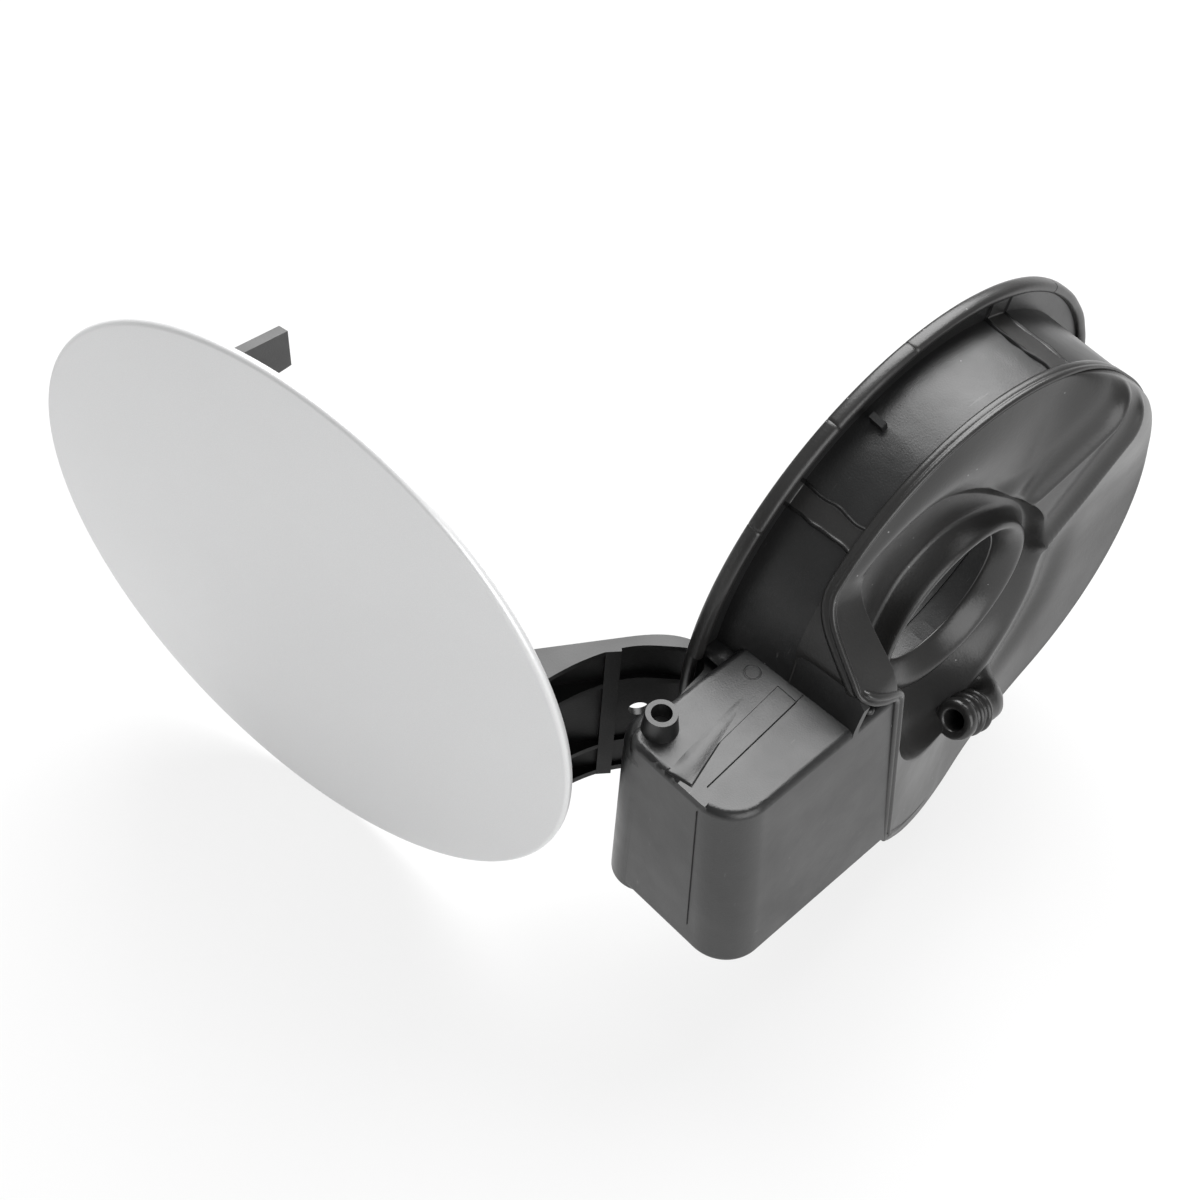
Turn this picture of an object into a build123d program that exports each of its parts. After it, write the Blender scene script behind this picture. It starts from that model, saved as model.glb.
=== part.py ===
"""Round fuel door on a gooseneck arm, with its filler pot and hinge box.

Frame: the origin is the centre of the pot's flange, Z is up and parallel to the hinge pin,
Y points into the car and X points to the hinge. The door is drawn open.
Sizes are in millimetres.
"""
import os
from math import cos, radians, sin, sqrt

from build123d import *

# Round door
DOOR_R = 100.0
DOOR_GAP = 5.2
HEM_T = 3.0
SKIN_T = 1.0
CROWN = 4.0
HEM_WIDTH = 7.0
PANEL_T = 1.0
PANEL_CLEAR = 2.0

# Pot: flange and side wall
POT_R = 79.5
POT_TAPER = 3.0
POT_REAR_R = POT_R - POT_TAPER
FLANGE_WIDTH = 6.1
FLANGE_R = POT_R + FLANGE_WIDTH
FLANGE_T = 2.2
LIP_WIDTH = 3.4
LIP_R = FLANGE_R + LIP_WIDTH
LIP_FRONT = 0.8
LIP_BACK = 4.2
LIP_HINGE_STEP = 1.0
LIP_HINGE_R = FLANGE_R + LIP_HINGE_STEP
LIP_HINGE_BACK = 3.2
LIP_NECK = 9.2
LIP_GAP = (-39.0, -5.3)
WALL_T = 2.2
POT_DRIFT = 6.0
POT_LENGTH = 60.0
REAR_Y = 31.2
REAR_SLOPE_X = 0.045
REAR_SLOPE_Z = 0.069

# Hinge
HINGE_OUT = 24.3
HINGE_X = LIP_R + HINGE_OUT
HINGE_Y = 14.8
OPEN_ANGLE = 99.9
PIN_R = 3.0
PIN_RUN = 0.06
PIN_BOTTOM = -54.2
PIN_TOP = 19.0
FULL_TURN = 360

# Hinge box
BOX_TOP = 18.0
BOX_BOTTOM = -56.0
BOX_PAST_HINGE = 9.3
BOX_RIGHT = HINGE_X + BOX_PAST_HINGE
BOX_INTO_POT = 26.5
BOX_LEFT = POT_R - BOX_INTO_POT
BOX_LEFT_LEAN = 5.0
BOX_FRONT = 10.0
BOX_REAR_TOP = 51.4
BOX_REAR_BOTTOM = 58.6
BOX_CORNER_REAR = 13.0
BOX_CORNER_FRONT = 5.0
BOX_EDGE = 2.6
BOX_TOP_T = 3.0
MOUTH_TO_HINGE = 5.3
MOUTH_X = HINGE_X - MOUTH_TO_HINGE
MOUTH_TOP = 13.6
BULGE_TOP = 10.0
CHANNEL_DEPTH = 1.0
CHANNEL_FRONT = (26.6, 30.6)
CHANNEL_REAR = (34.0, 40.8)
CHANNEL_START = 26.0
CHANNEL_LEFT = BOX_LEFT + CHANNEL_START
TUBE_R = 4.5
TUBE_FOOT_R = 5.4
TUBE_TOP = 25.1
BOSS_R = 4.8
BOSS_TOP_END = 8.0
BOSS_LOW_END = -50.2
WRAP_TOP = 42.0
WRAP_HIP = 26.0
WRAP_HIP_R = 9.0
TAB_ANGLES = (68.5, 158.5, 248.5)
TAB_WIDTH = 6.0
TAB_DEPTH = 4.5
TAB_HEIGHT = 3.2
TAB_Y = 7.8

# Gooseneck arm: its two edges in plan, as the closed door has them, measured from the pin
ARM_TOP = 12.0
ARM_BOTTOM = -52.6
HUB_R = 6.5
HUB_TOP = 7.2
HUB_BOTTOM = -49.8
HUB_RUN = 0.8
ARM_OUTER = ((2.4, 6.0), (3.2, 14.0), (2.8, 24.0), (0.2, 30.4), (-5.0, 33.4), (-12.2, 33.6), (-23.0, 27.4),
             (-30.5, 19.4), (-40.5, 8.4), (-48.5, -1.0), (-53.5, -10.0))
ARM_INNER = ((-37.2, -7.1), (-35.0, 1.2), (-30.2, 12.6), (-23.0, 22.4), (-15.0, 28.4), (-8.4, 31.0),
             (-4.4, 28.4), (-3.8, 22.0), (-3.6, 12.0), (-2.6, 6.0))
ARM_FOOT = (-56.5, -37.6)
CHANNEL_FIRST = 5
WEB_T = 2.4
ARM_FLANGE_T = 2.4
RIB_T = 2.0
RIB_LEVELS = (-4.0, -36.0)
CROSS_RIBS = (7, 9)
FOOT_T = 2.6
FOOT_LEFT = -66.0
FOOT_RIGHT = -37.4
SIGHT_HOLE_R = 3.2
SIGHT_HOLE_Z = -22.0
SIGHT_DIR = (-0.667, 0.745)
RIVET_X = -62.0
RIVET_Z = (-45.0, -27.0, -9.0, 7.0)
RIVET_R = 2.0
RIVET_HEAD_R = 3.2
RIVET_HEAD_T = 1.2
RIVET_TAIL_R = 2.8
RIVET_TAIL_T = 0.9

# Latch tongue
TONGUE_X = -47.0
TONGUE_Z = 50.0
TONGUE_REACH = 36.2
TONGUE_LEAN = 8.0
TONGUE_T = 3.4
TONGUE_ROOT_W = 21.0
TONGUE_TIP_W = 14.0
TONGUE_FOOT_X = 24.0
TONGUE_FOOT_T = 3.0
TONGUE_RIVET_PITCH = 14.0

# Soft rear wall
SOFT_T = 2.0
BEAD_OUT = 1.1
BEAD_IN = 2.4
BEAD_T = 3.2
STRIP_T = 0.6
STRIP_ANGLES = ((44.8, 51.2), (105.0, 113.0))
COLLAR_X = 8.0
COLLAR_Z = 0.0
COLLAR_HOLE_R = 24.2
COLLAR_LIP_R = 31.5
COLLAR_FRONT = 28.0
COLLAR_LIP_REAR = 35.4
RECESS_R = 41.0
RECESS_FLOOR = 30.6
BROW_X = 27.0
BROW_Z = 22.0
BROW_R = 36.0
BROW_FLOOR = 26.4
RIDGE_UPPER = ((-19.0, 36.0, 31.0), (-49.0, 44.5, 60.0))
RIDGE_LOWER = ((-29.0, 37.0, -5.5), (-54.0, 44.5, 49.0))
ROOF_UPPER_EDGE = (-25.0, 31.0, 70.0)
ROOF_LOWER_EDGE = (-80.0, 38.3, 5.0)
SKIRT_Y = 55.6
SKIRT_SLOPE_X = 0.272
SKIRT_SLOPE_Z = 0.097
SKIRT_R = 44.0
SKIRT_END = (-15.0, -58.0)
SKIRT_TURN = 14.0
NIPPLE_X = -7.0
NIPPLE_Y = 48.6
NIPPLE_Z = -50.0
NIPPLE_RISE = 25.0
NIPPLE_LENGTH = 22.0
NIPPLE_R = 5.4
NIPPLE_BARB_R = 7.2
NIPPLE_BORE_R = 3.4
NIPPLE_STEPS = (10.0, 14.0, 15.6)
DRAIN_R = 2.4

# Rubber buffers
BUMPER_ANGLES = (160.0, 285.0)
BUMPER_CLEAR = 3.1
BUMPER_PITCH_R = POT_R + BUMPER_CLEAR
BUMPER_R = 2.8
BUMPER_STEM_R = 1.6
BUMPER_GAP = 0.3
BUMPER_HEAD_T = 1.2

os.makedirs("parts", exist_ok=True)

# Door frame: local x and y are the closed door's x and y, measured from the pin.
turn = radians(OPEN_ANGLE)
door_x = Vector(cos(turn), sin(turn), 0)
door_y = Vector(-sin(turn), cos(turn), 0)
pin_axis = Vector(HINGE_X, HINGE_Y, 0)


def door_plane(level):
    """Plane across the pin at one height, turned with the door."""
    return Plane(origin=(HINGE_X, HINGE_Y, level), x_dir=door_x, z_dir=(0, 0, 1))


def door_point(x, y, z):
    """Point given in the closed door's coordinates."""
    return pin_axis + door_x * (x - HINGE_X) + door_y * (y - HINGE_Y) + Vector(0, 0, z)


def door_face(x, y, z):
    """Plane on the door, seen from behind, at a closed point: its normal points into the pot."""
    return Plane(origin=door_point(x, y, z), x_dir=door_x, z_dir=door_y)


def pot_circle(radius, depth):
    """Circle of the pot's slanting wall at one depth."""
    share = depth / POT_LENGTH
    return Pos(-POT_DRIFT * share, -POT_DRIFT * share) * Circle(radius + (POT_REAR_R - POT_R) * share)


def depth_plane(depth):
    """Plane parallel to the flange at a depth: local x is X and local y is Z."""
    return Plane(origin=(0, depth, 0), x_dir=(1, 0, 0), z_dir=(0, -1, 0))


def pot_solid(radius, start, end):
    """Solid frustum of the pot between two depths."""
    with BuildPart() as frustum:
        with BuildSketch(depth_plane(start)):
            add(pot_circle(radius, start))
        with BuildSketch(depth_plane(end)):
            add(pot_circle(radius, end))
        loft()
    return frustum.part


def rear_plane(offset):
    """Slanting rear plane of the pot, moved back by an offset."""
    return Plane(origin=(0, REAR_Y + offset, 0), z_dir=(REAR_SLOPE_X, 1, REAR_SLOPE_Z))


def skirt_plane(offset):
    """Plane that climbs from the pot's rear to the box's rear, moved back by an offset."""
    return Plane(origin=(BOX_LEFT, SKIRT_Y + offset, BOX_BOTTOM), z_dir=(-SKIRT_SLOPE_X, 1, SKIRT_SLOPE_Z))


def between_planes(solid, front, rear):
    """Slice of a solid between two planes."""
    with BuildPart() as slice_part:
        add(solid)
        split(bisect_by=rear, keep=Keep.BOTTOM)
        split(bisect_by=front, keep=Keep.TOP)
    return slice_part.part


def box_section(level, inset, left):
    """Plan of the hinge box at one height, moved in by an inset."""
    share = (BOX_TOP - level) / (BOX_TOP - BOX_BOTTOM)
    left = left + BOX_LEFT_LEAN * (1 - share)
    rear = BOX_REAR_TOP + (BOX_REAR_BOTTOM - BOX_REAR_TOP) * share - inset
    front = BOX_FRONT + inset
    right = BOX_RIGHT - inset
    with BuildSketch(Plane.XY.offset(level)) as section:
        with BuildLine():
            Polyline((left, front), (right, front), (right, rear), (left, rear), close=True)
        make_face()
        corners = section.vertices().group_by(Axis.X)[-1].sort_by(Axis.Y)
        fillet(corners[0], BOX_CORNER_FRONT - inset / 2)
        corners = section.vertices().sort_by(Axis.X)[-4:].sort_by(Axis.Y)
        fillet(corners[-1], BOX_CORNER_REAR - inset)
    return section.sketch


def box_solid(inset, left, low, high):
    """Solid of the hinge box between two heights."""
    return loft([box_section(low, inset, left), box_section(high, inset, left)])


def wrap_side():
    """Side view of the pot wall that reaches back around the hinge box."""
    with BuildSketch(Plane.YZ) as side:
        with BuildLine():
            Polyline((BOX_FRONT + WALL_T, WRAP_TOP), (REAR_Y - REAR_SLOPE_Z * WRAP_TOP, WRAP_TOP),
                     (BOX_REAR_TOP, WRAP_HIP), (BOX_REAR_TOP, BOX_TOP), (BOX_REAR_BOTTOM, BOX_BOTTOM),
                     (BOX_FRONT + WALL_T, BOX_BOTTOM), close=True)
        make_face()
        fillet(side.vertices().sort_by_distance((0, BOX_REAR_TOP, WRAP_HIP))[0], WRAP_HIP_R)
    return side.sketch


pot_outer = pot_solid(POT_R, 0, POT_LENGTH)
pot_inner = pot_solid(POT_R - WALL_T, -WALL_T, POT_LENGTH + WALL_T)
box_outer = box_solid(0, BOX_LEFT, BOX_BOTTOM, BOX_TOP)
box_rims = box_outer.edges().filter_by(lambda edge: edge.length > 0 and abs(edge.tangent_at(0.5).Z) < 0.01)
box_outer = fillet(box_rims.filter_by(lambda edge: edge.center().X > BOX_LEFT + BOX_EDGE), BOX_EDGE)
box_inner = box_solid(WALL_T, BOX_LEFT - BOX_CORNER_REAR, BOX_BOTTOM + WALL_T, BOX_TOP - BOX_TOP_T)
box_mid_z = (BOX_BOTTOM + WALL_T + MOUTH_TOP) / 2
mouth_height = MOUTH_TOP - BOX_BOTTOM - WALL_T
mouth_depth = BOX_FRONT + WALL_T + LIP_BACK
mouth_width = MOUTH_X - BOX_LEFT
wrap_start = BOX_LEFT / 2

# Housing: flange, side wall, wrap and hinge box in one moulding
wrap_prism = extrude(wrap_side(), amount=LIP_R)
fold_foot = BOX_LEFT + BOX_LEFT_LEAN
fold_line = ((BOX_LEFT, BOX_BOTTOM), (fold_foot, BOX_TOP), (fold_foot, WRAP_TOP))


def skirt_zone(inset, head):
    """Front view of the raised rear wall beside the hinge box, as a solid along the depth."""
    arc_r = SKIRT_R + inset
    with BuildPart() as zone:
        with BuildSketch(depth_plane(0)):
            with BuildLine():
                Polyline(*head, (BOX_LEFT, BOX_BOTTOM), (BOX_LEFT, -LIP_R), (SKIRT_END[0] + inset, -LIP_R),
                         (SKIRT_END[0] + inset, SKIRT_END[1]), (COLLAR_X, COLLAR_Z - arc_r))
                ThreePointArc((COLLAR_X, COLLAR_Z - arc_r),
                              (COLLAR_X + arc_r * sqrt(3) / 2, COLLAR_Z - arc_r / 2), head[0])
            make_face()
        extrude(amount=-2 * POT_LENGTH)
    return zone.part


fold_x = fold_foot - SOFT_T
turn_share = (SKIRT_TURN - SOFT_T - BOX_BOTTOM) / (BOX_TOP - BOX_BOTTOM)
fold_head = ((fold_x, SKIRT_TURN), (fold_x, WRAP_TOP), (fold_foot, WRAP_TOP), (fold_foot, BOX_TOP))
hollow_head = ((BOX_LEFT + BOX_LEFT_LEAN * turn_share, SKIRT_TURN - SOFT_T),)
skirt_outer = skirt_zone(0, fold_head)
pot_wall = pot_outer - pot_inner
skirt_wall = between_planes(pot_wall, rear_plane(-WALL_T), skirt_plane(0)) & skirt_outer
wrap_wall = (pot_outer & Pos(wrap_start, 0, 0) * wrap_prism) - pot_inner
with BuildPart() as housing:
    add(pot_outer)
    split(bisect_by=rear_plane(0), keep=Keep.BOTTOM)
    add(pot_inner, mode=Mode.SUBTRACT)
    add(wrap_wall)
    add(skirt_wall)
    with BuildSketch(Plane.XZ):
        Circle(FLANGE_R)
        Circle(POT_R - WALL_T, mode=Mode.SUBTRACT)
    extrude(amount=-FLANGE_T)
    add(box_outer - pot_solid(POT_R - WALL_T, 0, BOX_REAR_TOP - 2 * WALL_T))
    add(box_inner, mode=Mode.SUBTRACT)
    # Shallow channel across the top
    with BuildSketch(Plane.XY.offset(BOX_TOP)):
        with BuildLine():
            Polyline((CHANNEL_LEFT, CHANNEL_FRONT[0]), (BOX_RIGHT, CHANNEL_FRONT[1]),
                     (BOX_RIGHT, CHANNEL_REAR[1]), (CHANNEL_LEFT, CHANNEL_REAR[0]), close=True)
        make_face()
    extrude(amount=-CHANNEL_DEPTH, mode=Mode.SUBTRACT)
    # Bulge of the front wall around the arm's hub
    with BuildSketch(Plane.XY.offset(BOX_BOTTOM)):
        with Locations((HINGE_X, HINGE_Y)):
            Circle(HUB_R + HUB_RUN + WALL_T)
    extrude(amount=BULGE_TOP - BOX_BOTTOM)
    add(box_inner, mode=Mode.SUBTRACT)
    with BuildSketch(Plane.XY.offset(BOX_BOTTOM + WALL_T)):
        with Locations((HINGE_X, HINGE_Y)):
            Circle(HUB_R + HUB_RUN)
    extrude(amount=BULGE_TOP - BOX_BOTTOM - 2 * WALL_T, mode=Mode.SUBTRACT)
    # Passage for the arm through the flange, wall and front of the box
    with Locations((BOX_LEFT + mouth_width / 2, mouth_depth / 2 - LIP_BACK, box_mid_z)):
        Box(mouth_width, mouth_depth + LIP_BACK, mouth_height, mode=Mode.SUBTRACT)
    # Bosses for the pin
    with BuildSketch(Plane.XY.offset(BOX_TOP - BOX_TOP_T)):
        with Locations((HINGE_X, HINGE_Y)):
            Circle(BOSS_R)
    extrude(amount=BOSS_TOP_END - BOX_TOP + BOX_TOP_T)
    with BuildSketch(Plane.XY.offset(BOX_BOTTOM + WALL_T)):
        with Locations((HINGE_X, HINGE_Y)):
            Circle(BOSS_R)
    extrude(amount=BOSS_LOW_END - BOX_BOTTOM - WALL_T)
    with BuildSketch(Plane.XY.offset(BOX_TOP - CHANNEL_DEPTH)):
        with Locations((HINGE_X, HINGE_Y)):
            Circle(TUBE_FOOT_R)
    with BuildSketch(Plane.XY.offset(TUBE_TOP)):
        with Locations((HINGE_X, HINGE_Y)):
            Circle(TUBE_R)
    loft()
    with BuildSketch(Plane.XY.offset(PIN_BOTTOM)):
        with Locations((HINGE_X, HINGE_Y)):
            Circle(PIN_R)
    extrude(amount=TUBE_TOP - PIN_BOTTOM, mode=Mode.SUBTRACT)
    # Retaining tabs on the side wall
    for angle in TAB_ANGLES:
        outward = Vector(cos(radians(angle)), 0, sin(radians(angle)))
        tab_root = outward * (POT_R - WALL_T) + Vector(0, TAB_Y, 0)
        with BuildSketch(Plane(origin=tab_root, x_dir=(0, 1, 0), z_dir=outward)):
            Rectangle(TAB_DEPTH, TAB_WIDTH)
        extrude(amount=TAB_HEIGHT + WALL_T)
    # Holes for the buffers
    with BuildSketch(Plane.XZ):
        for angle in BUMPER_ANGLES:
            with Locations((BUMPER_PITCH_R * cos(radians(angle)), BUMPER_PITCH_R * sin(radians(angle)))):
                Circle(BUMPER_STEM_R)
    extrude(amount=-FLANGE_T, mode=Mode.SUBTRACT)
housing.part.label = "housing"
export_step(housing.part, "parts/housing.step")

# Hinge pin
with BuildPart() as hinge_pin:
    with BuildSketch(Plane.XY.offset(PIN_BOTTOM)):
        with Locations((HINGE_X, HINGE_Y)):
            Circle(PIN_R)
    extrude(amount=PIN_TOP - PIN_BOTTOM)
hinge_pin.part.label = "hinge_pin"
export_step(hinge_pin.part, "parts/hinge_pin.step")

# Door skin: crowned sheet with its edge hemmed back
door_axis = Axis(door_point(0, 0, 0), door_y)
door_profile = Plane(origin=door_point(0, 0, 0), x_dir=door_x, z_dir=(0, 0, 1))
hem_r = DOOR_R - HEM_T / 2
front_y = -DOOR_GAP - HEM_T
back_y = front_y + SKIN_T
seat_y = -DOOR_GAP - SKIN_T
crown_r = (hem_r**2 + CROWN**2) / (2 * CROWN)
crown_half = CROWN - crown_r + sqrt(crown_r**2 - (hem_r / 2)**2)
with BuildPart() as door_skin:
    with BuildSketch(door_profile):
        with BuildLine():
            ThreePointArc((0, front_y - CROWN), (hem_r / 2, front_y - crown_half), (hem_r, front_y))
            ThreePointArc((hem_r, front_y), (DOOR_R, front_y + HEM_T / 2), (hem_r, -DOOR_GAP))
            Polyline((hem_r, -DOOR_GAP), (DOOR_R - HEM_WIDTH, -DOOR_GAP), (DOOR_R - HEM_WIDTH, seat_y),
                     (hem_r, seat_y))
            ThreePointArc((hem_r, seat_y), (DOOR_R - SKIN_T, front_y + HEM_T / 2), (hem_r, back_y))
            ThreePointArc((hem_r, back_y), (hem_r / 2, back_y - crown_half), (0, back_y - CROWN))
            Line((0, back_y - CROWN), (0, front_y - CROWN))
        make_face()
    revolve(axis=door_axis)
door_skin.part.label = "door_skin"
export_step(door_skin.part, "parts/door_skin.step")

# Flat inner panel, held in the hem
tongue_rivet_z = (TONGUE_Z - TONGUE_RIVET_PITCH / 2, TONGUE_Z + TONGUE_RIVET_PITCH / 2)
tongue_rivet_x = TONGUE_X - TONGUE_FOOT_X / 4
arm_rivet_points = [(RIVET_X + HINGE_X, level) for level in RIVET_Z]
tongue_rivet_points = [(tongue_rivet_x, level) for level in tongue_rivet_z]


def rivet_spots(points):
    """Centres on the seat plane, whose local y points down."""
    return [(x, -z) for x, z in points]


with BuildPart() as door_inner:
    with BuildSketch(door_face(0, seat_y - PANEL_T, 0)):
        Circle(DOOR_R - PANEL_CLEAR)
        with Locations(*rivet_spots(arm_rivet_points + tongue_rivet_points)):
            Circle(RIVET_R, mode=Mode.SUBTRACT)
    extrude(amount=PANEL_T)
door_inner.part.label = "door_inner"
export_step(door_inner.part, "parts/door_inner.step")

# Gooseneck arm
foot_v = seat_y - HINGE_Y
arm_height = ARM_TOP - ARM_BOTTOM
outer_edge = ARM_OUTER + ((ARM_FOOT[0], foot_v),)
inner_edge = ((ARM_FOOT[1], foot_v),) + ARM_INNER


def inset_edge(points, distance):
    """Points of a curve moved to its left by a distance."""
    moved = []
    for index, point in enumerate(points):
        before = Vector(*points[max(index - 1, 0)])
        after = Vector(*points[min(index + 1, len(points) - 1)])
        along = (after - before).normalized()
        moved.append((point[0] - along.Y * distance, point[1] + along.X * distance))
    return moved


web_edge = inset_edge(outer_edge, WEB_T)[CHANNEL_FIRST:-1]
levels = sorted((ARM_BOTTOM + ARM_FLANGE_T, ARM_TOP) + RIB_LEVELS)
with BuildPart() as hinge_arm:
    with BuildSketch(door_plane(ARM_BOTTOM)):
        with BuildLine():
            Spline(*outer_edge)
            Line(outer_edge[-1], inner_edge[0])
            Spline(*inner_edge)
            Line(inner_edge[-1], outer_edge[0])
        make_face()
    extrude(amount=arm_height)
    # Open side of the channel, between the flanges and ribs
    for low, high in zip(levels[:-1], levels[1:]):
        with BuildSketch(door_plane(low)):
            with BuildLine():
                Spline(*web_edge)
                Polyline(web_edge[-1], (ARM_FOOT[1], web_edge[-1][1]), (ARM_FOOT[1] / 2, web_edge[-1][1]),
                         (0, 0), (web_edge[0][0], web_edge[0][1] - WEB_T), web_edge[0])
            make_face()
        extrude(amount=high - low - RIB_T, mode=Mode.SUBTRACT)
    # Cross ribs of the channel
    for index in CROSS_RIBS:
        start = Vector(*outer_edge[index])
        along = (Vector(*outer_edge[index + 1]) - Vector(*outer_edge[index - 1])).normalized()
        reach = min((Vector(*point) - start).length for point in inner_edge) - RIB_T / 2
        middle = start + Vector(-along.Y, along.X) * (reach / 2 + WEB_T / 4)
        tilt = Vector(1, 0).get_signed_angle(along)
        with BuildSketch(door_plane(ARM_BOTTOM)):
            with Locations(Location((middle.X, middle.Y, 0), tilt)):
                Rectangle(RIB_T, reach - WEB_T / 2)
        extrude(amount=arm_height)
    # Foot on the inner panel
    with BuildSketch(door_plane(ARM_BOTTOM)):
        with Locations(((FOOT_LEFT + FOOT_RIGHT) / 2, foot_v + FOOT_T / 2)):
            Rectangle(FOOT_RIGHT - FOOT_LEFT, FOOT_T)
    extrude(amount=arm_height)
    with BuildSketch(door_face(0, seat_y, 0)):
        with Locations(*rivet_spots(arm_rivet_points)):
            Circle(RIVET_R)
    extrude(amount=FOOT_T, mode=Mode.SUBTRACT)
    # Hub, clear of the bosses above and below
    for low, high in ((ARM_BOTTOM, HUB_BOTTOM), (HUB_TOP, ARM_TOP)):
        with BuildSketch(door_plane(low)):
            Circle(HUB_R + WEB_T)
        extrude(amount=high - low, mode=Mode.SUBTRACT)
    with BuildSketch(door_plane(HUB_BOTTOM)):
        Circle(HUB_R)
    extrude(amount=HUB_TOP - HUB_BOTTOM)
    with BuildSketch(door_plane(ARM_BOTTOM)):
        Circle(PIN_R + PIN_RUN)
    extrude(amount=arm_height, mode=Mode.SUBTRACT)
    # Sight hole in the web
    sight_line = door_x * SIGHT_DIR[0] + door_y * SIGHT_DIR[1]
    with BuildSketch(Plane(origin=door_point(HINGE_X, HINGE_Y, SIGHT_HOLE_Z), z_dir=sight_line)):
        Circle(SIGHT_HOLE_R)
    extrude(amount=DOOR_R / 2, mode=Mode.SUBTRACT)
hinge_arm.part.label = "hinge_arm"
export_step(hinge_arm.part, "parts/hinge_arm.step")


def rivet_set(points, grip):
    """Equal rivets through the inner panel and a foot of one thickness."""
    with BuildPart() as rivets:
        for depth, radius, length in ((seat_y - PANEL_T - RIVET_TAIL_T, RIVET_TAIL_R, RIVET_TAIL_T),
                                      (seat_y - PANEL_T, RIVET_R, PANEL_T + grip),
                                      (seat_y + grip, RIVET_HEAD_R, RIVET_HEAD_T)):
            with BuildSketch(door_face(0, depth, 0)):
                with Locations(*rivet_spots(points)):
                    Circle(radius)
            extrude(amount=length)
    return rivets.part


arm_rivets = rivet_set(arm_rivet_points, FOOT_T)
arm_rivets.label = "arm_rivets"
export_step(arm_rivets, "parts/arm_rivets.step")
tongue_rivets = rivet_set(tongue_rivet_points, TONGUE_FOOT_T)
tongue_rivets.label = "tongue_rivets"
export_step(tongue_rivets, "parts/tongue_rivets.step")

# Latch tongue: leaning blade on a foot
tongue_u = TONGUE_X - HINGE_X
tongue_tip_v = TONGUE_REACH - HINGE_Y
blade_plane = Plane(origin=door_point(TONGUE_X, 0, TONGUE_Z), x_dir=door_y, z_dir=door_x)
with BuildSketch(blade_plane) as blade_front:
    with BuildLine():
        Polyline((seat_y, -TONGUE_ROOT_W / 2), (TONGUE_REACH, -TONGUE_TIP_W / 2),
                 (TONGUE_REACH, TONGUE_TIP_W / 2), (seat_y, TONGUE_ROOT_W / 2), close=True)
    make_face()
    fillet(blade_front.vertices().sort_by(Axis(door_point(0, 0, 0), door_y))[-2:], TONGUE_T)
blade_width = extrude(blade_front.sketch, amount=TONGUE_FOOT_X, both=True)
with BuildPart() as latch_tongue:
    with BuildSketch(door_plane(TONGUE_Z - TONGUE_ROOT_W / 2)):
        with BuildLine():
            Polyline((tongue_u - TONGUE_T / 2, foot_v), (tongue_u + TONGUE_T / 2, foot_v),
                     (tongue_u + TONGUE_LEAN + TONGUE_T / 2, tongue_tip_v),
                     (tongue_u + TONGUE_LEAN - TONGUE_T / 2, tongue_tip_v), close=True)
        make_face()
    extrude(amount=TONGUE_ROOT_W)
    add(blade_width, mode=Mode.INTERSECT)
    with BuildSketch(door_plane(TONGUE_Z - TONGUE_ROOT_W / 2)):
        with Locations((tongue_u, foot_v + TONGUE_FOOT_T / 2)):
            Rectangle(TONGUE_FOOT_X, TONGUE_FOOT_T)
    extrude(amount=TONGUE_ROOT_W)
    with BuildSketch(door_face(0, seat_y, 0)):
        with Locations(*rivet_spots(tongue_rivet_points)):
            Circle(RIVET_R)
    extrude(amount=TONGUE_FOOT_T, mode=Mode.SUBTRACT)
latch_tongue.part.label = "latch_tongue"
export_step(latch_tongue.part, "parts/latch_tongue.step")


def bumper(angle):
    """Rubber buffer pressed through the flange."""
    spot = (BUMPER_PITCH_R * cos(radians(angle)), BUMPER_PITCH_R * sin(radians(angle)))
    with BuildPart() as rubber:
        for depth, radius, length in ((0, BUMPER_R, -seat_y - BUMPER_GAP),
                                      (FLANGE_T, BUMPER_STEM_R, FLANGE_T),
                                      (FLANGE_T + BUMPER_HEAD_T, BUMPER_R, BUMPER_HEAD_T)):
            with BuildSketch(depth_plane(depth)):
                with Locations(spot):
                    Circle(radius)
            extrude(amount=length)
    return rubber.part


bumper_upper = bumper(BUMPER_ANGLES[0])
bumper_upper.label = "bumper_upper"
export_step(bumper_upper, "parts/bumper_upper.step")
bumper_lower = bumper(BUMPER_ANGLES[1])
bumper_lower.label = "bumper_lower"
export_step(bumper_lower, "parts/bumper_lower.step")


def taper(first, second):
    """Solid between two circles given as x, z, radius and depth."""
    with BuildPart() as cone:
        for x, z, radius, depth in (first, second):
            with BuildSketch(depth_plane(depth)):
                with Locations((x, z)):
                    Circle(radius)
        loft()
    return cone.part


def roof_plane(first, second, third, inset):
    """Plane through three points, moved forward by an inset, with its normal to the rear."""
    start = Vector(*first)
    normal = (Vector(*second) - start).cross(Vector(*third) - start)
    if normal.Y < 0:
        normal = -normal
    return Plane(origin=start - Vector(0, inset, 0), z_dir=normal)


def roof(solid, inset):
    """Pocket for the latch: the part of a solid under three planes that meet in two ridges."""
    with BuildPart() as tent:
        add(solid)
        split(bisect_by=roof_plane(RIDGE_UPPER[0], *RIDGE_LOWER, inset), keep=Keep.BOTTOM)
        split(bisect_by=roof_plane(*RIDGE_UPPER, ROOF_UPPER_EDGE, inset), keep=Keep.BOTTOM)
        split(bisect_by=roof_plane(*RIDGE_LOWER, ROOF_LOWER_EDGE, inset), keep=Keep.BOTTOM)
        split(bisect_by=rear_plane(-inset), keep=Keep.TOP)
    return tent.part


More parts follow.
